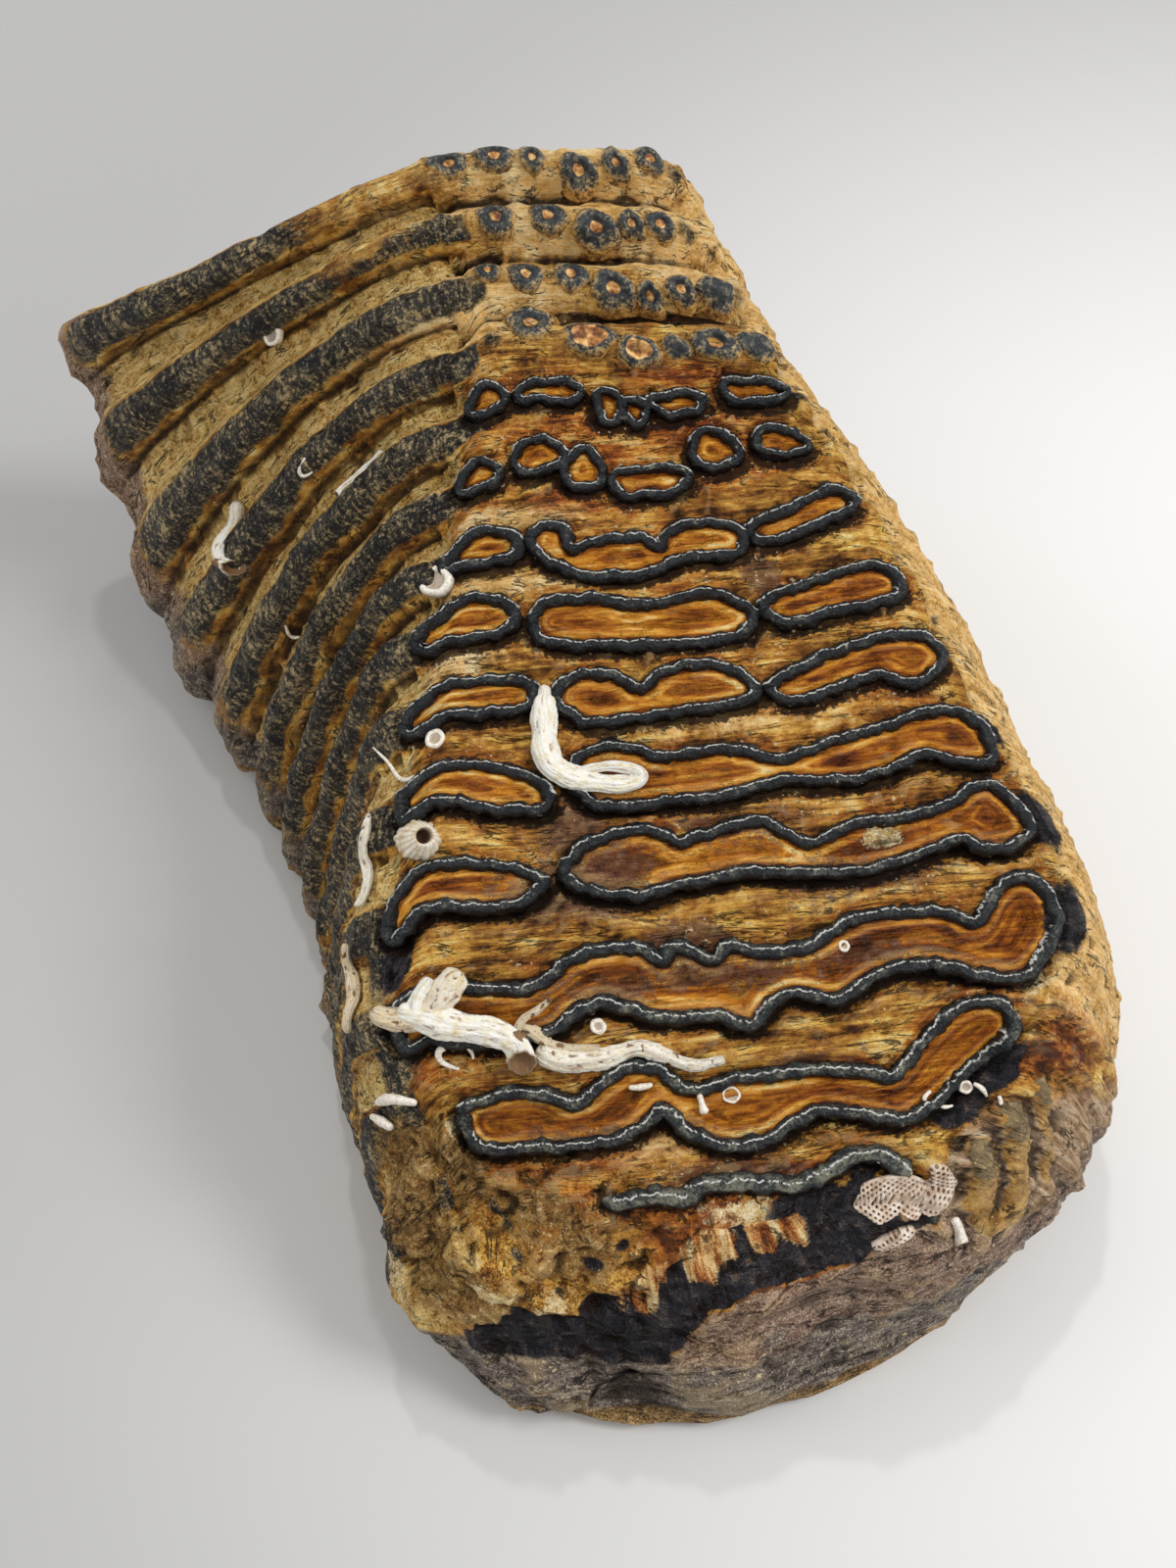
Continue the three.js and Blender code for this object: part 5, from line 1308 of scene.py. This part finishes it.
DOT = [(0.36, 0.14, 0.04, 0.008), (0.5, 0.52, 0.23, 0.055), (0.62, 0.84, 0.54, 0.22)]
CREAM = [(0.36, 0.34, 0.16, 0.035), (0.5, 0.78, 0.58, 0.26), (0.62, 0.96, 0.86, 0.6)]
TEETH = [(0.38, 0.05, 0.012, 0.004), (0.46, 0.42, 0.12, 0.018), (0.54, 0.78, 0.52, 0.2),
         (0.64, 0.96, 0.86, 0.6)]
SHADE = [(0.34, 0.01, 0.005, 0.002), (0.48, 0.06, 0.026, 0.007), (0.6, 0.36, 0.18, 0.045)]
VALLEY = [(0.32, 0.1, 0.04, 0.008), (0.43, 0.38, 0.195, 0.04), (0.53, 0.68, 0.43, 0.125),
          (0.65, 0.92, 0.7, 0.3)]

# Single colours.
FURROW_CRACK_AND_SHADE = (0.045, 0.018, 0.006)
SPECK_TAN = (0.42, 0.35, 0.22)
ENAMEL_SHADE_BLACK = (0.012, 0.006, 0.003)
CRUMB_CREAM = (0.8, 0.64, 0.36)
CRACK_BLACK = (0.012, 0.005, 0.002)
HOLLOW_SHADE_BROWN = (0.016, 0.007, 0.003)
RAISED_TAN = (0.86, 0.62, 0.3)
RIM_BLACK_AND_SHADE = (0.004, 0.003, 0.003)
HIGHLIGHT_WHITE = (0.72, 0.72, 0.68)
CHIP_TAN = (0.46, 0.38, 0.25)
BAND_TAN = (0.36, 0.28, 0.16)
CREST_BLACK = (0.01, 0.012, 0.015)
STAIN_OCHRE = (0.62, 0.42, 0.16)
PIT_BROWN = (0.2, 0.09, 0.025)
HOLE_BROWN = (0.12, 0.05, 0.015)
MOUTH_BROWN_AND_SHADE = (0.24, 0.115, 0.034)
GROOVE_BROWN = (0.34, 0.18, 0.06)
RING_BROWN = (0.22, 0.13, 0.06)
SEAM_BROWN = (0.42, 0.28, 0.14)
MOUTH_HOLE_BROWN_AND_SHADE = (0.1, 0.045, 0.02)
CELL_BROWN = (0.13, 0.07, 0.035)


class Stone(Finish):
    """The tooth's stone, with the noises that its zones share."""

    def __init__(self, name):
        super().__init__(name)
        self.at, self.growth, self.distance = self.place(), self.place("growth"), self.share("distance")
        self.grain = grain = self.noise(self.at, 0.85, 5, 0.62)
        self.fine = fine = self.noise(self.at, 3.4, 4, 0.65)
        self.wide = wide = self.noise(self.at, 0.15, 3, 0.55)
        self.lumps = lumps = self.noise(self.at, 0.33, 4, 0.6)
        self.thread = self.grown(0.13, 1.9, 0.25, 5, 0.66, 0.9)
        self.upright = self.grown(0.55, 0.55, 0.06, 6, 0.7, 0.3)
        across = self.node("SeparateXYZ", 0, {0: self.growth})
        self.beside_run = self.vector(0.1 * across, self.distance, 3.0 * wide)
        self.parallel = self.noise(self.scaled(self.beside_run, 1, 1.15, 1), 1.0, 5, 0.68, 0.4)
        self.edge = grain + wide + 0.5 * fine - 1.25
        self.mixed = contrast(0.4 * grain + 0.3 * lumps + 0.3 * fine, 0.8)
        self.crumbs = 0.6 * grain + 0.4 * fine
        self.dentine = self.step(self.share("dentine"), 0.4, 0.6)
        fibre = self.grown(0.06, 0.62, 0.12, 6, 0.62, 1.1)
        tone = 0.34 * fibre + 0.16 * self.thread + 0.22 * self.parallel + 0.28 * lumps
        self.tone = contrast(tone, 0.9) + 0.25 * (grain - 0.5) + 0.4 * (wide - 0.5)
        line = self.step(abs(self.grown(0.075, 0.45, 0.1, 5, 0.62, 1.4) - 0.5), 0.027, 0.007)
        self.crack = line * self.step(lumps + 0.2 * grain, 0.555, 0.665)

    def grown(self, x, y, z, detail, roughness, distortion=0.0):
        """Noise drawn out along the growth: x, y and z scale it across, along and up the growing tooth."""
        return self.noise(self.scaled(self.growth, x, y, z), 1.0, detail, roughness, distortion)

    def frayed(self, name, reach, low, high):
        """A zone's share, its border frayed by noise times reach."""
        return self.step(self.share(name) + reach * self.edge, low, high)

    def zone(self, name, stops, value, low=0.35, high=0.6, reach=0.5, most=1.0):
        self.paint(self.frayed(name, reach, low, high), self.ramp(value, stops), most)


def paint_cementum(f):
    """Fibrous cementum with amber beside the enamel, and its rocky, pale, rusty and tan stretches."""
    f.colour = f.ramp(f.tone, CEMENTUM)
    near = f.step(f.distance, 4.5, 1.2) * f.step(f.wide + 0.3 * f.grain, 0.5, 0.75)
    f.paint(near, f.ramp(f.tone, RUST), 0.8)
    f.zone("rock", CEMENTUM, f.mixed, 0.3, 0.7, 0.5, 0.9)
    f.zone("pale", PALE, 0.75 * f.tone + 0.172, 0.15, 0.6, 0.7, 0.95)
    f.zone("rust", RUST, f.tone, 0.15, 0.6, 0.9, 0.85)
    f.zone("tan", PALE, 0.5 * f.upright + 0.51 * f.mixed, 0.2, 0.7, 0.4, 0.9)


def paint_sides(f):
    """Strands and columns of the front right corner, pale valleys of the left flank, and shade under its
    ridges."""
    strand = f.grown(1.3, 1.6, 0.1, 6, 0.68, 0.6)
    f.zone("strand", STRAND, 0.8 * strand + 0.2 * f.grain, 0.2, 0.7, 0.4, 0.92)
    f.zone("stem", STEM, 0.4 * f.grain + 0.3 * f.lumps + 0.3 * f.thread, 0.35, 0.7, 0.25, 0.95)
    f.zone("valley", VALLEY, f.mixed + 0.065, 0.25, 0.7, 0.6, 0.92)
    f.zone("shade", SHADE, f.mixed, 0.3, 0.8, 0.9, 0.85)


def paint_root(f):
    """Speckled root stone, greyer at its base, with earth along its hem."""
    flow = f.grown(0.1, 0.7, 0.55, 6, 0.72, 0.6)
    speck = contrast(0.3 * flow + 0.45 * f.fine + 0.25 * f.grain, 0.6)
    root = f.frayed("root", 0.6, 0.3, 0.7)
    f.paint(root, f.ramp(speck, ROOT), 0.92)
    f.paint(f.frayed("base", 0.8, 0.3, 0.8) * root, f.ramp(speck, STAIN), 0.9)
    f.paint(f.frayed("hem", 0.6, 0.3, 0.7) * root, f.ramp(speck, EARTH), 0.85)


def paint_flank(f):
    """Mottled dark enamel of the left flank with tan specks, and the rows and furrows of the unworn
    plates."""
    cross = f.grown(0.9, 0.35, 1.3, 4, 0.65)
    mottle = 0.75 * f.noise(f.at, 1.5, 6, 0.75) + 0.25 * cross + 0.25 * (f.wide - 0.52)
    mottle = contrast(mottle, 0.9) + 0.4 * (f.fine - 0.5) + 0.4 * (f.lumps + cross - 1.0)
    f.zone("flank", ENAMEL_DARK, mottle, 0.3, 0.75, 0.85, 0.97)
    f.zone("row", STEM, f.mixed + 0.04, 0.3, 0.8, 0.7, 0.4)
    # The furrows between the unworn rows: a dark crack line and painted shade between the raised rows.
    f.paint(f.frayed("furrow", 0.35, 0.6, 0.85), FURROW_CRACK_AND_SHADE, 0.85)
    dots = f.step(f.noise(f.at, 2.3, 2, 0.5), 0.64, 0.7)
    f.paint(dots * f.step(f.share("flank"), 0.4, 0.8), SPECK_TAN, 0.6)


def paint_dentine(f):
    """Streaks of dentine along the enamel, with a light lip beside it and a darker middle."""
    along = f.noise(f.scaled(f.beside_run, 0.8, 0.75, 1), 1.0, 4, 0.6, 0.2)
    streak = contrast(0.62 * along + 0.38 * f.grown(0.1, 1.3, 0.1, 5, 0.7, 0.5), 0.3)
    lip = f.step(f.distance, 2.0, 1.45) * f.step(f.distance, 0.95, 1.25)
    middle = f.step(f.distance, 2.4, 4.2) * f.step(f.wide, 0.5, 0.66)
    f.paint(f.dentine, f.ramp(streak + 0.1 * lip - 0.1 * middle, DENTINE))


def paint_front(f):
    """Black enamel of the broken front, the teeth above it and the tips of the corner's columns."""
    pitch = 0.4 * f.noise(f.growth, 0.4, 6, 0.72) + 0.35 * f.upright + 0.25 * f.fine
    f.zone("black", BLACK, contrast(pitch, 0.9), 0.35, 0.5, 0.35)
    f.zone("teeth", TEETH, 0.75 * f.upright + 0.25 * f.fine, 0.3, 0.6, 0.6, 0.95)
    f.zone("tip", ENAMEL_DARK, 0.7 * f.grain + 0.3 * f.fine, 0.4, 0.7, 0.9, 0.85)


def paint_marks(f):
    """Painted shade beside the enamel and in hollows, cream crumbs, cracks, and lighter tan on raised places.
    """
    ragged = f.noise(f.at, 1.3, 3, 0.6) - 0.5
    # Painted shade: ragged black on the cementum beside the enamel.
    f.paint(f.step(f.share("beside") + 1.9 * ragged, 0.42, 0.62), ENAMEL_SHADE_BLACK, 0.9)
    dots = f.step(f.noise(f.at, 1.5, 2, 0.5), 0.65, 0.7)
    f.paint(dots * f.step(f.wide, 0.42, 0.58) * f.step(f.share("crumbly"), 0.2, 0.8), CRUMB_CREAM, 0.8)
    f.paint(f.crack * f.step(f.dentine, 1.0, 0.2), CRACK_BLACK, 0.85)
    # Painted shade: dark brown in the skin's hollows, less on the pale cementum and the valleys.
    deep = f.share("cavity") - 0.2 * f.share("pale") - 0.15 * f.share("valley")
    f.paint(f.step(deep, 0.56, 0.96), HOLLOW_SHADE_BROWN, 0.82)
    # Lighter tan on the skin's raised places, away from the black enamel and the flank.
    bare = f.step(f.share("black") + f.share("flank"), 0.5, 0.2)
    f.paint(f.step(f.share("cavity"), 0.42, 0.12) * bare, RAISED_TAN, 0.2)


def tooth_finish(tint):
    """Stone of the tooth, from the cementum under all the other zones up to the cracks and crumbs over them:
    duller on earth, glossier on enamel, dentine and the black front."""
    f = Stone("molar_stone")
    paint_cementum(f)
    paint_sides(f)
    paint_root(f)
    paint_flank(f)
    f.zone("earth", EARTH, f.crumbs, 0.3, 0.6, 0.9, 0.95)
    paint_dentine(f)
    f.zone("purple", PURPLE, 0.6 * f.grain + 0.4 * f.thread, 0.2, 0.5, 1.0, 0.85)
    f.zone("cream", CREAM, f.crumbs, 0.45, 0.7, 0.7, 0.95)
    paint_front(f)
    paint_marks(f)
    f.tinted(tint)
    roughness = (0.56 - 0.2 * f.share("flank") - 0.28 * f.dentine + 0.5 * (f.fine - 0.5)
                 + 0.3 * f.share("earth") - 0.3 * f.share("black"))
    height = 0.7 * f.thread + 0.35 * f.fine + 0.5 * (f.grain + f.parallel) - 0.6 * f.crack
    return f.done(roughness, height, 1.0, 0.75, Specular_IOR_Level=0.2)


def enamel_finish(tint):
    """Enamel ribbon: blackish blue glaze, slate on the front rows, with fine cross wrinkles, black ragged
    edges darkened as painted shade on their front side, a broken painted highlight along it and tan chips."""
    f = Finish("enamel_glaze")
    place, along, plate, back = f.place(), f.share("along"), f.share("plate"), f.share("back")
    side = abs(f.share("side"))
    mottle, fine = f.noise(place, 0.42, 4, 0.65), f.noise(place, 2.1, 4, 0.68)
    tone = 0.55 * mottle + 0.45 * fine + 0.06 * f.step(plate, 4.5, 1.0) + 0.07 * f.step(plate, 0.0, -0.25)
    f.colour = f.ramp(tone + 0.03 * f.step(side, 0.75, 0.1), ENAMEL_GLAZE)
    # Black ragged edges of the enamel, reaching further on the front-facing side as painted shade.
    f.paint(f.step(side + 0.9 * (fine - 0.5) - 0.3 * back, 0.62, 0.9), RIM_BLACK_AND_SHADE)
    # Painted highlight: a broken white line along the ribbon's back-facing slope.
    track = abs(back - (0.8 * f.noise(f.vector(along, plate), 1.1, 3, 0.6) - 0.05))
    f.paint(f.step(track, 0.12, 0.03) * f.step(fine, 0.42, 0.52), HIGHLIGHT_WHITE, 0.9)
    f.paint(f.step(f.noise(place, 0.9, 4, 0.65), 0.64, 0.71) * f.step(mottle, 0.45, 0.6), CHIP_TAN, 0.7)
    wave = f.math("SINE", 9.0 * along + 26.0 * f.noise(place, 0.8, 3, 0.6))
    f.tinted(tint)
    return f.done(0.16 + 0.4 * (fine - 0.45), 0.1 * wave + (fine + mottle), 0.9, 0.4, Specular_IOR_Level=0.32)


def knob_finish():
    """Knobs of the unworn rows: mottled dark enamel with a tan foot, worn through to amber dentine dots."""
    f = Finish("knob_glaze")
    place, side = f.place(), f.share("side")
    grain, fine = f.noise(place, 0.9, 4, 0.65), f.noise(place, 2.6, 4, 0.65)
    mottle = 0.6 * grain + 0.4 * fine
    tone = 1.6 * (mottle - 0.5) + 0.475 + 0.03 * f.step(f.share("plate"), 12.3, 13.6)
    f.colour = f.ramp(tone + 0.07 * f.step(side, 0.55, 1.0), ENAMEL_DARK)
    f.paint(f.step(side + 0.8 * grain + 0.6 * (fine - 0.5), 1.1, 1.42), f.ramp(mottle, STEM), 0.9)
    band = f.step(abs(side + 0.3 * grain - 0.95), 0.14, 0.02)
    f.paint(band * f.step(fine, 0.44, 0.6), BAND_TAN, 0.6)
    f.paint(f.step(side + 0.5 * grain, 0.85, 0.5), CREST_BLACK, 0.8)
    f.paint(f.step(f.share("core") + 0.4 * grain, 0.5, 0.8), f.ramp(f.noise(place, 0.9, 3, 0.5), DOT))
    return f.done(0.28 + 0.3 * grain, mottle, 0.9, 0.5, Specular_IOR_Level=0.4, Coat_Weight=0.12,
                  Coat_Roughness=0.15)


def tube_finish(lime):
    """Lime of the worm tubes: white and cream with growth lines, brown in the pits and grooves, brown
    mouths."""
    f = Finish("worm_tube_lime")
    place, along, around = f.place(), f.share("along"), f.share("around")
    grain, fine = f.noise(place, 0.8, 4, 0.6), f.noise(place, 4.0, 4, 0.65)
    streak = f.noise(f.vector(0.25 * along, around), 1.6, 4, 0.6)
    groove = f.noise(f.vector(0.12 * along, around), 3.2, 3, 0.55)
    f.colour = f.ramp(0.5 * grain + 0.5 * streak + 0.05, [
        (0.28, 0.42, 0.24, 0.08), (0.42, 0.8, 0.68, 0.42), (0.52, 0.9, 0.86, 0.74), (0.62, *lime)])
    stained = f.step(f.share("pitted") + 1.2 * (grain - 0.5), 0.45, 0.9)
    f.paint(stained, STAIN_OCHRE, 0.55)
    f.paint(f.step(f.share("pit") + 0.5 * (fine - 0.5), 0.35, 0.6), PIT_BROWN, 0.85)
    f.paint(f.step(f.cells(place, 1.9), 0.22, 0.12) * stained, HOLE_BROWN, 0.8)
    # Inside the turned-in mouths: their brown and painted shade in the hole.
    f.paint(f.share("inside"), MOUTH_BROWN_AND_SHADE, 0.95)
    # Brown in the tube's grooves, where the bump is low.
    f.paint(f.step(groove, 0.46, 0.36) * f.step(grain, 0.42, 0.56), GROOVE_BROWN, 0.75)
    return f.done(0.42 + 0.25 * fine, 2.2 * groove + 0.8 * fine + streak, 0.9, 0.22, Specular_IOR_Level=0.35)


def glassy_finish():
    """Small young growths: milky lime with brown middles."""
    f = Finish("glassy_lime")
    fine = f.noise(f.place(), 3.0, 4, 0.6)
    f.colour = f.ramp(fine, [(0.3, 0.55, 0.42, 0.28), (0.55, 0.86, 0.82, 0.74)])
    f.paint(f.share("inside"), RING_BROWN, 0.85)
    return f.done(0.25 + 0.3 * fine, fine, 0.5, 0.1, Specular_IOR_Level=0.6)


def barnacle_finish(lime):
    """Barnacle shell: off-white wall plates with brown seams and a dark mouth, partly painted shade in its
    hole.
    """
    f = Finish("barnacle_lime")
    place = f.place()
    grain, fine = f.noise(place, 0.9, 4, 0.6), f.noise(place, 3.5, 4, 0.6)
    f.colour = f.ramp(grain, [(0.3, 0.5, 0.37, 0.2), (0.5, 0.78, 0.7, 0.55), (0.7, *lime)])
    rib = f.math("SINE", 18.0 * f.share("around"))
    f.paint(f.step(rib, 0.2, -0.9), SEAM_BROWN, 0.35)
    # Inside the mouth: its brown and painted shade in the hole.
    f.paint(f.share("inside"), MOUTH_HOLE_BROWN_AND_SHADE)
    return f.done(0.45 + 0.25 * fine, fine + 0.4 * rib, 0.6, 0.12, Specular_IOR_Level=0.45)


def crust_finish(lime):
    """Bryozoan sheets: pale pinkish lime with brown cell floors."""
    f = Finish("bryozoan_lime")
    place = f.place()
    grain, fine = f.noise(place, 0.7, 3, 0.6), f.noise(place, 5.0, 3, 0.6)
    f.colour = f.ramp(grain, [(0.3, 0.4, 0.27, 0.18), (0.52, *lime), (0.72, 0.84, 0.78, 0.7)])
    f.paint(f.step(f.share("pit"), 0.35, 0.85), CELL_BROWN, 0.85)
    return f.done(0.55 + 0.2 * fine, fine, 0.5, 0.08, Specular_IOR_Level=0.4)


def floor_finish(colour):
    """Matt floor with a painted pool of light: brightest round one place and dimmer further away."""
    f = Finish("pale_floor")
    away = f.node("VectorMath", 1, {0: f.place(), 1: FLOOR_BRIGHT_PLACE}, operation="DISTANCE")
    f.colour = tuple(colour)
    f.paint(f.step(away, *FLOOR_REACH), tuple(FLOOR_DIM * channel for channel in colour))
    return f.done(0.8, f.noise(f.place(), 0.3), 0.02, 0.1)


# ---------------- settings, operators and panel

def number(name, text, default, **more):
    return bpy.props.FloatProperty(name=name, description=text, default=default, **more)


def colour(name, text, default):
    return bpy.props.FloatVectorProperty(name=name, description=text, default=default, subtype="COLOR",
                                         min=0, max=1)


class ToothSettings(bpy.types.PropertyGroup):
    relief: number("Relief", "Strength of the fine relief of the skin", 1.0, subtype="FACTOR", min=0, max=2)
    ribbon_height: number("Enamel height", "Enamel above the worn surface, in mm", 0.95, min=0.2, max=2)
    wrinkle: number("Wrinkle", "Sideways wrinkles of the enamel, in mm", 0.2, min=0, max=0.5)
    knob_height: number("Knob height", "Knobs above the unworn surface, in mm", 1.5, min=0.5, max=3)
    stone_tint: colour("Stone tint", "Multiplies every colour of the tooth's stone", (1, 1, 1))
    enamel_tint: colour("Enamel tint", "Multiplies the colours of the enamel on the chewing surface", (1, 1, 1))


class GrowthSettings(bpy.types.PropertyGroup):
    tube_size: number("Tube size", "Thickness of the worm tubes over their own", 1.0, subtype="FACTOR",
                      min=0.5, max=1.5)
    lime: colour("Tube lime", "Cleanest lime of the worm tubes", (0.93, 0.92, 0.87))
    barnacle_size: number("Barnacle size", "Size of the barnacle over its own", 1.0, min=0.5, max=1.5)
    shell: colour("Barnacle shell", "Cleanest lime of the barnacle", (0.88, 0.85, 0.78))
    cell_depth: number("Cell depth", "Depth of the bryozoans' cells, in mm", 0.45, min=0.1, max=0.8)
    crust: colour("Bryozoan lime", "Middle tone of the bryozoan sheets", (0.66, 0.53, 0.42))


class StageSettings(bpy.types.PropertyGroup):
    floor_colour: colour("Floor", "Pale floor under the tooth", (0.81, 0.81, 0.81))
    key_power: number("Key light", "Soft light from the upper right", 8.9, unit="POWER", min=0)
    fill: number("Fill", "Brightness of the soft light all round", 0.62, min=0)
    lens: number("Lens", "Focal length on a 36 mm high frame", 43.46, unit="CAMERA")


class MOLAR_OT_tooth_body(bpy.types.Operator):
    """The tooth's whole skin: worn cementum and dentine, ridged flanks, broken front, root base and back"""
    bl_idname = "molar.tooth_body"
    bl_label = "Tooth body"

    def execute(self, context):
        settings = context.scene.molar_tooth
        points, zones = tooth_skin(enamel_lines(), settings.relief)
        attributes = {key: with_poles(values) for key, values in zones.items()}
        add_piece("tooth_body", [shell(points)], attributes, tooth_finish(settings.stone_tint),
                  ["molar"])
        return {"FINISHED"}


class MOLAR_OT_enamel_ribbons(bpy.types.Operator):
    """Enamel standing proud of the worn surface: long loops in front, small rings behind, knobs at the
    back"""
    bl_idname = "molar.enamel_ribbons"
    bl_label = "Enamel"

    def execute(self, context):
        settings = context.scene.molar_tooth
        lines, material = enamel_lines(), enamel_finish(settings.enamel_tint)
        worn = len(LONG_LOOPS) + 1
        for name, rows in (("enamel_loops", lines[:worn]), ("enamel_rings", lines[worn:])):
            ribbons = [ribbon(row, n, settings.ribbon_height, settings.wrinkle) for n, row in enumerate(rows)]
            shells, attributes = joined(ribbons, [row["closed"] for row in rows])
            add_piece(name, shells, attributes, material, ["molar"])
        shells, attributes = joined([knob(*row, n, settings.knob_height) for n, row in enumerate(KNOBS)])
        add_piece("enamel_knobs", shells, attributes, knob_finish(), ["molar"])
        return {"FINISHED"}


class MOLAR_OT_worm_tubes(bpy.types.Operator):
    """Lime tubes that worms built on the tooth, on the chewing surface, along its left edge and on the
    flank"""
    bl_idname = "molar.worm_tubes"
    bl_label = "Worm tubes"

    def execute(self, context):
        settings = context.scene.molar_growth
        material = tube_finish(settings.lime)
        for count, (name, tubes) in enumerate(WORM_TUBES.items()):
            grids = [tube_shell(*tube, size=settings.tube_size, seed=1.3 * count + n)
                     for n, tube in enumerate(tubes)]
            shells, attributes = joined(grids)
            add_piece(name, shells, attributes, material, [name])
        return {"FINISHED"}


class MOLAR_OT_barnacle(bpy.types.Operator):
    """A small barnacle at the left end of a worn plate"""
    bl_idname = "molar.barnacle"
    bl_label = "Barnacle"

    def execute(self, context):
        settings = context.scene.molar_growth
        shells, attributes = joined([barnacle_grid(settings.barnacle_size)])
        add_piece("barnacle", shells, attributes, barnacle_finish(settings.shell),
                  ["barnacle"])
        return {"FINISHED"}


class MOLAR_OT_bryozoan_crust(bpy.types.Operator):
    """Pitted bryozoan sheets over the broken front right corner"""
    bl_idname = "molar.bryozoan_crust"
    bl_label = "Bryozoan crust"

    def execute(self, context):
        settings = context.scene.molar_growth
        shells, attributes = joined([mat_grid(**mat, depth=settings.cell_depth) for mat in MATS])
        add_piece("bryozoan_crust", shells, attributes, crust_finish(settings.crust),
                  ["bryozoan_crust"])
        return {"FINISHED"}


class MOLAR_OT_small_growths(bpy.types.Operator):
    """Small curls and rings of young growths on the tooth"""
    bl_idname = "molar.small_growths"
    bl_label = "Small growths"

    def execute(self, context):
        grids = [tube_shell(*curl, seed=n, sides=16, step=0.3) for n, curl in enumerate(CURLS)]
        grids += [ring_grid(*ring) for ring in FLAT_RINGS]
        shells, attributes = joined(grids)
        add_piece("small_growths", shells, attributes, glassy_finish(), [])
        return {"FINISHED"}


FLOOR_HALF = 3.0  # metres
# The floor's colour holds a painted pool of light: brightest round this place, dimmer further away.
FLOOR_BRIGHT_PLACE = (135.0, 0.0, 0.0)  # mm
FLOOR_REACH = (60.0, 265.0)  # mm from there: brightest within the first, dim past the second
FLOOR_DIM = 0.54  # brightness of its dim part over the bright one
ROOM_COLOUR = (1.0, 0.985, 0.96, 1)
LIGHT_TARGET = (0, 0, 0.05)
CAMERA_PLACE = (0.004075, -0.133478, 0.2648)
CAMERA_TARGET = (0.004075, -0.013478, 0.057)
# Soft square lights: name, place and size in metres, power over that of the key light.
LIGHTS = [
    ("key_light", (0.95, -0.05, 1.2), 0.45, 1.0),
    ("back_light", (-0.05, 0.75, 1.3), 0.06, 0.36),
    ("right_light", (0.85, -0.15, 0.4), 0.5, 0.15),
    ("left_light", (-0.9, 0.15, 0.75), 0.7, 0.28),
]


def look_from(obj, place, target):
    """Puts a camera or light at a place, in metres, facing the target."""
    obj.location = place
    obj.rotation_euler = (Vector(target) - Vector(place)).to_track_quat("-Z", "Y").to_euler()
    bpy.context.scene.collection.objects.link(obj)


def add_floor(colour):
    mesh = bpy.data.meshes.new("floor")
    h = FLOOR_HALF
    mesh.from_pydata([(-h, -h, 0), (h, -h, 0), (h, h, 0), (-h, h, 0)], [], [(0, 1, 2, 3)])
    mesh.materials.append(floor_finish(colour))
    floor = bpy.data.objects.new("floor", mesh)
    bpy.context.scene.collection.objects.link(floor)


def add_lights(key_power, fill):
    world = bpy.data.worlds.new("soft_room")
    world.use_nodes = True
    background = world.node_tree.nodes["Background"]
    background.inputs["Color"].default_value = ROOM_COLOUR
    background.inputs["Strength"].default_value = fill
    bpy.context.scene.world = world
    for name, place, size, share in LIGHTS:
        light = bpy.data.lights.new(name, "AREA")
        light.energy, light.size = key_power * share, size
        look_from(bpy.data.objects.new(name, light), place, LIGHT_TARGET)


def add_camera(lens):
    camera = bpy.data.cameras.new("camera")
    camera.sensor_fit, camera.sensor_height, camera.sensor_width = "VERTICAL", 36, 27
    camera.lens = lens
    camera.clip_start = 0.01
    view = bpy.data.objects.new("camera", camera)
    look_from(view, CAMERA_PLACE, CAMERA_TARGET)
    bpy.context.scene.camera = view


class MOLAR_OT_stage(bpy.types.Operator):
    """Plain pale floor, soft light from the upper right, and the camera looking down at the chewing
    surface"""
    bl_idname = "molar.stage"
    bl_label = "Stage"

    def execute(self, context):
        settings = context.scene.molar_stage
        add_floor(settings.floor_colour)
        add_lights(settings.key_power, settings.fill)
        add_camera(settings.lens)
        context.scene.view_settings.view_transform = "Standard"
        return {"FINISHED"}


OPERATORS = (MOLAR_OT_tooth_body, MOLAR_OT_enamel_ribbons, MOLAR_OT_worm_tubes, MOLAR_OT_barnacle,
             MOLAR_OT_bryozoan_crust, MOLAR_OT_small_growths, MOLAR_OT_stage)


class MOLAR_PT_sidebar(bpy.types.Panel):
    bl_label = "Fossil mammoth molar"
    bl_idname = "MOLAR_PT_sidebar"
    bl_space_type = "VIEW_3D"
    bl_region_type = "UI"
    bl_category = "Molar"

    def draw(self, context):
        scene = context.scene
        for group in (scene.molar_tooth, scene.molar_growth, scene.molar_stage):
            for key in group.__annotations__:
                self.layout.prop(group, key)
        for operator in OPERATORS:
            self.layout.operator(operator.bl_idname)


CLASSES = (ToothSettings, GrowthSettings, StageSettings, *OPERATORS, MOLAR_PT_sidebar)


def register():
    for cls in CLASSES:
        bpy.utils.register_class(cls)
    bpy.types.Scene.molar_tooth = bpy.props.PointerProperty(type=ToothSettings)
    bpy.types.Scene.molar_growth = bpy.props.PointerProperty(type=GrowthSettings)
    bpy.types.Scene.molar_stage = bpy.props.PointerProperty(type=StageSettings)


def unregister():
    del bpy.types.Scene.molar_tooth
    del bpy.types.Scene.molar_growth
    del bpy.types.Scene.molar_stage
    for cls in reversed(CLASSES):
        bpy.utils.unregister_class(cls)


def main():
    register()
    for operator in OPERATORS:
        group, action = operator.bl_idname.split(".")
        getattr(getattr(bpy.ops, group), action)()


if __name__ == "__main__":
    main()
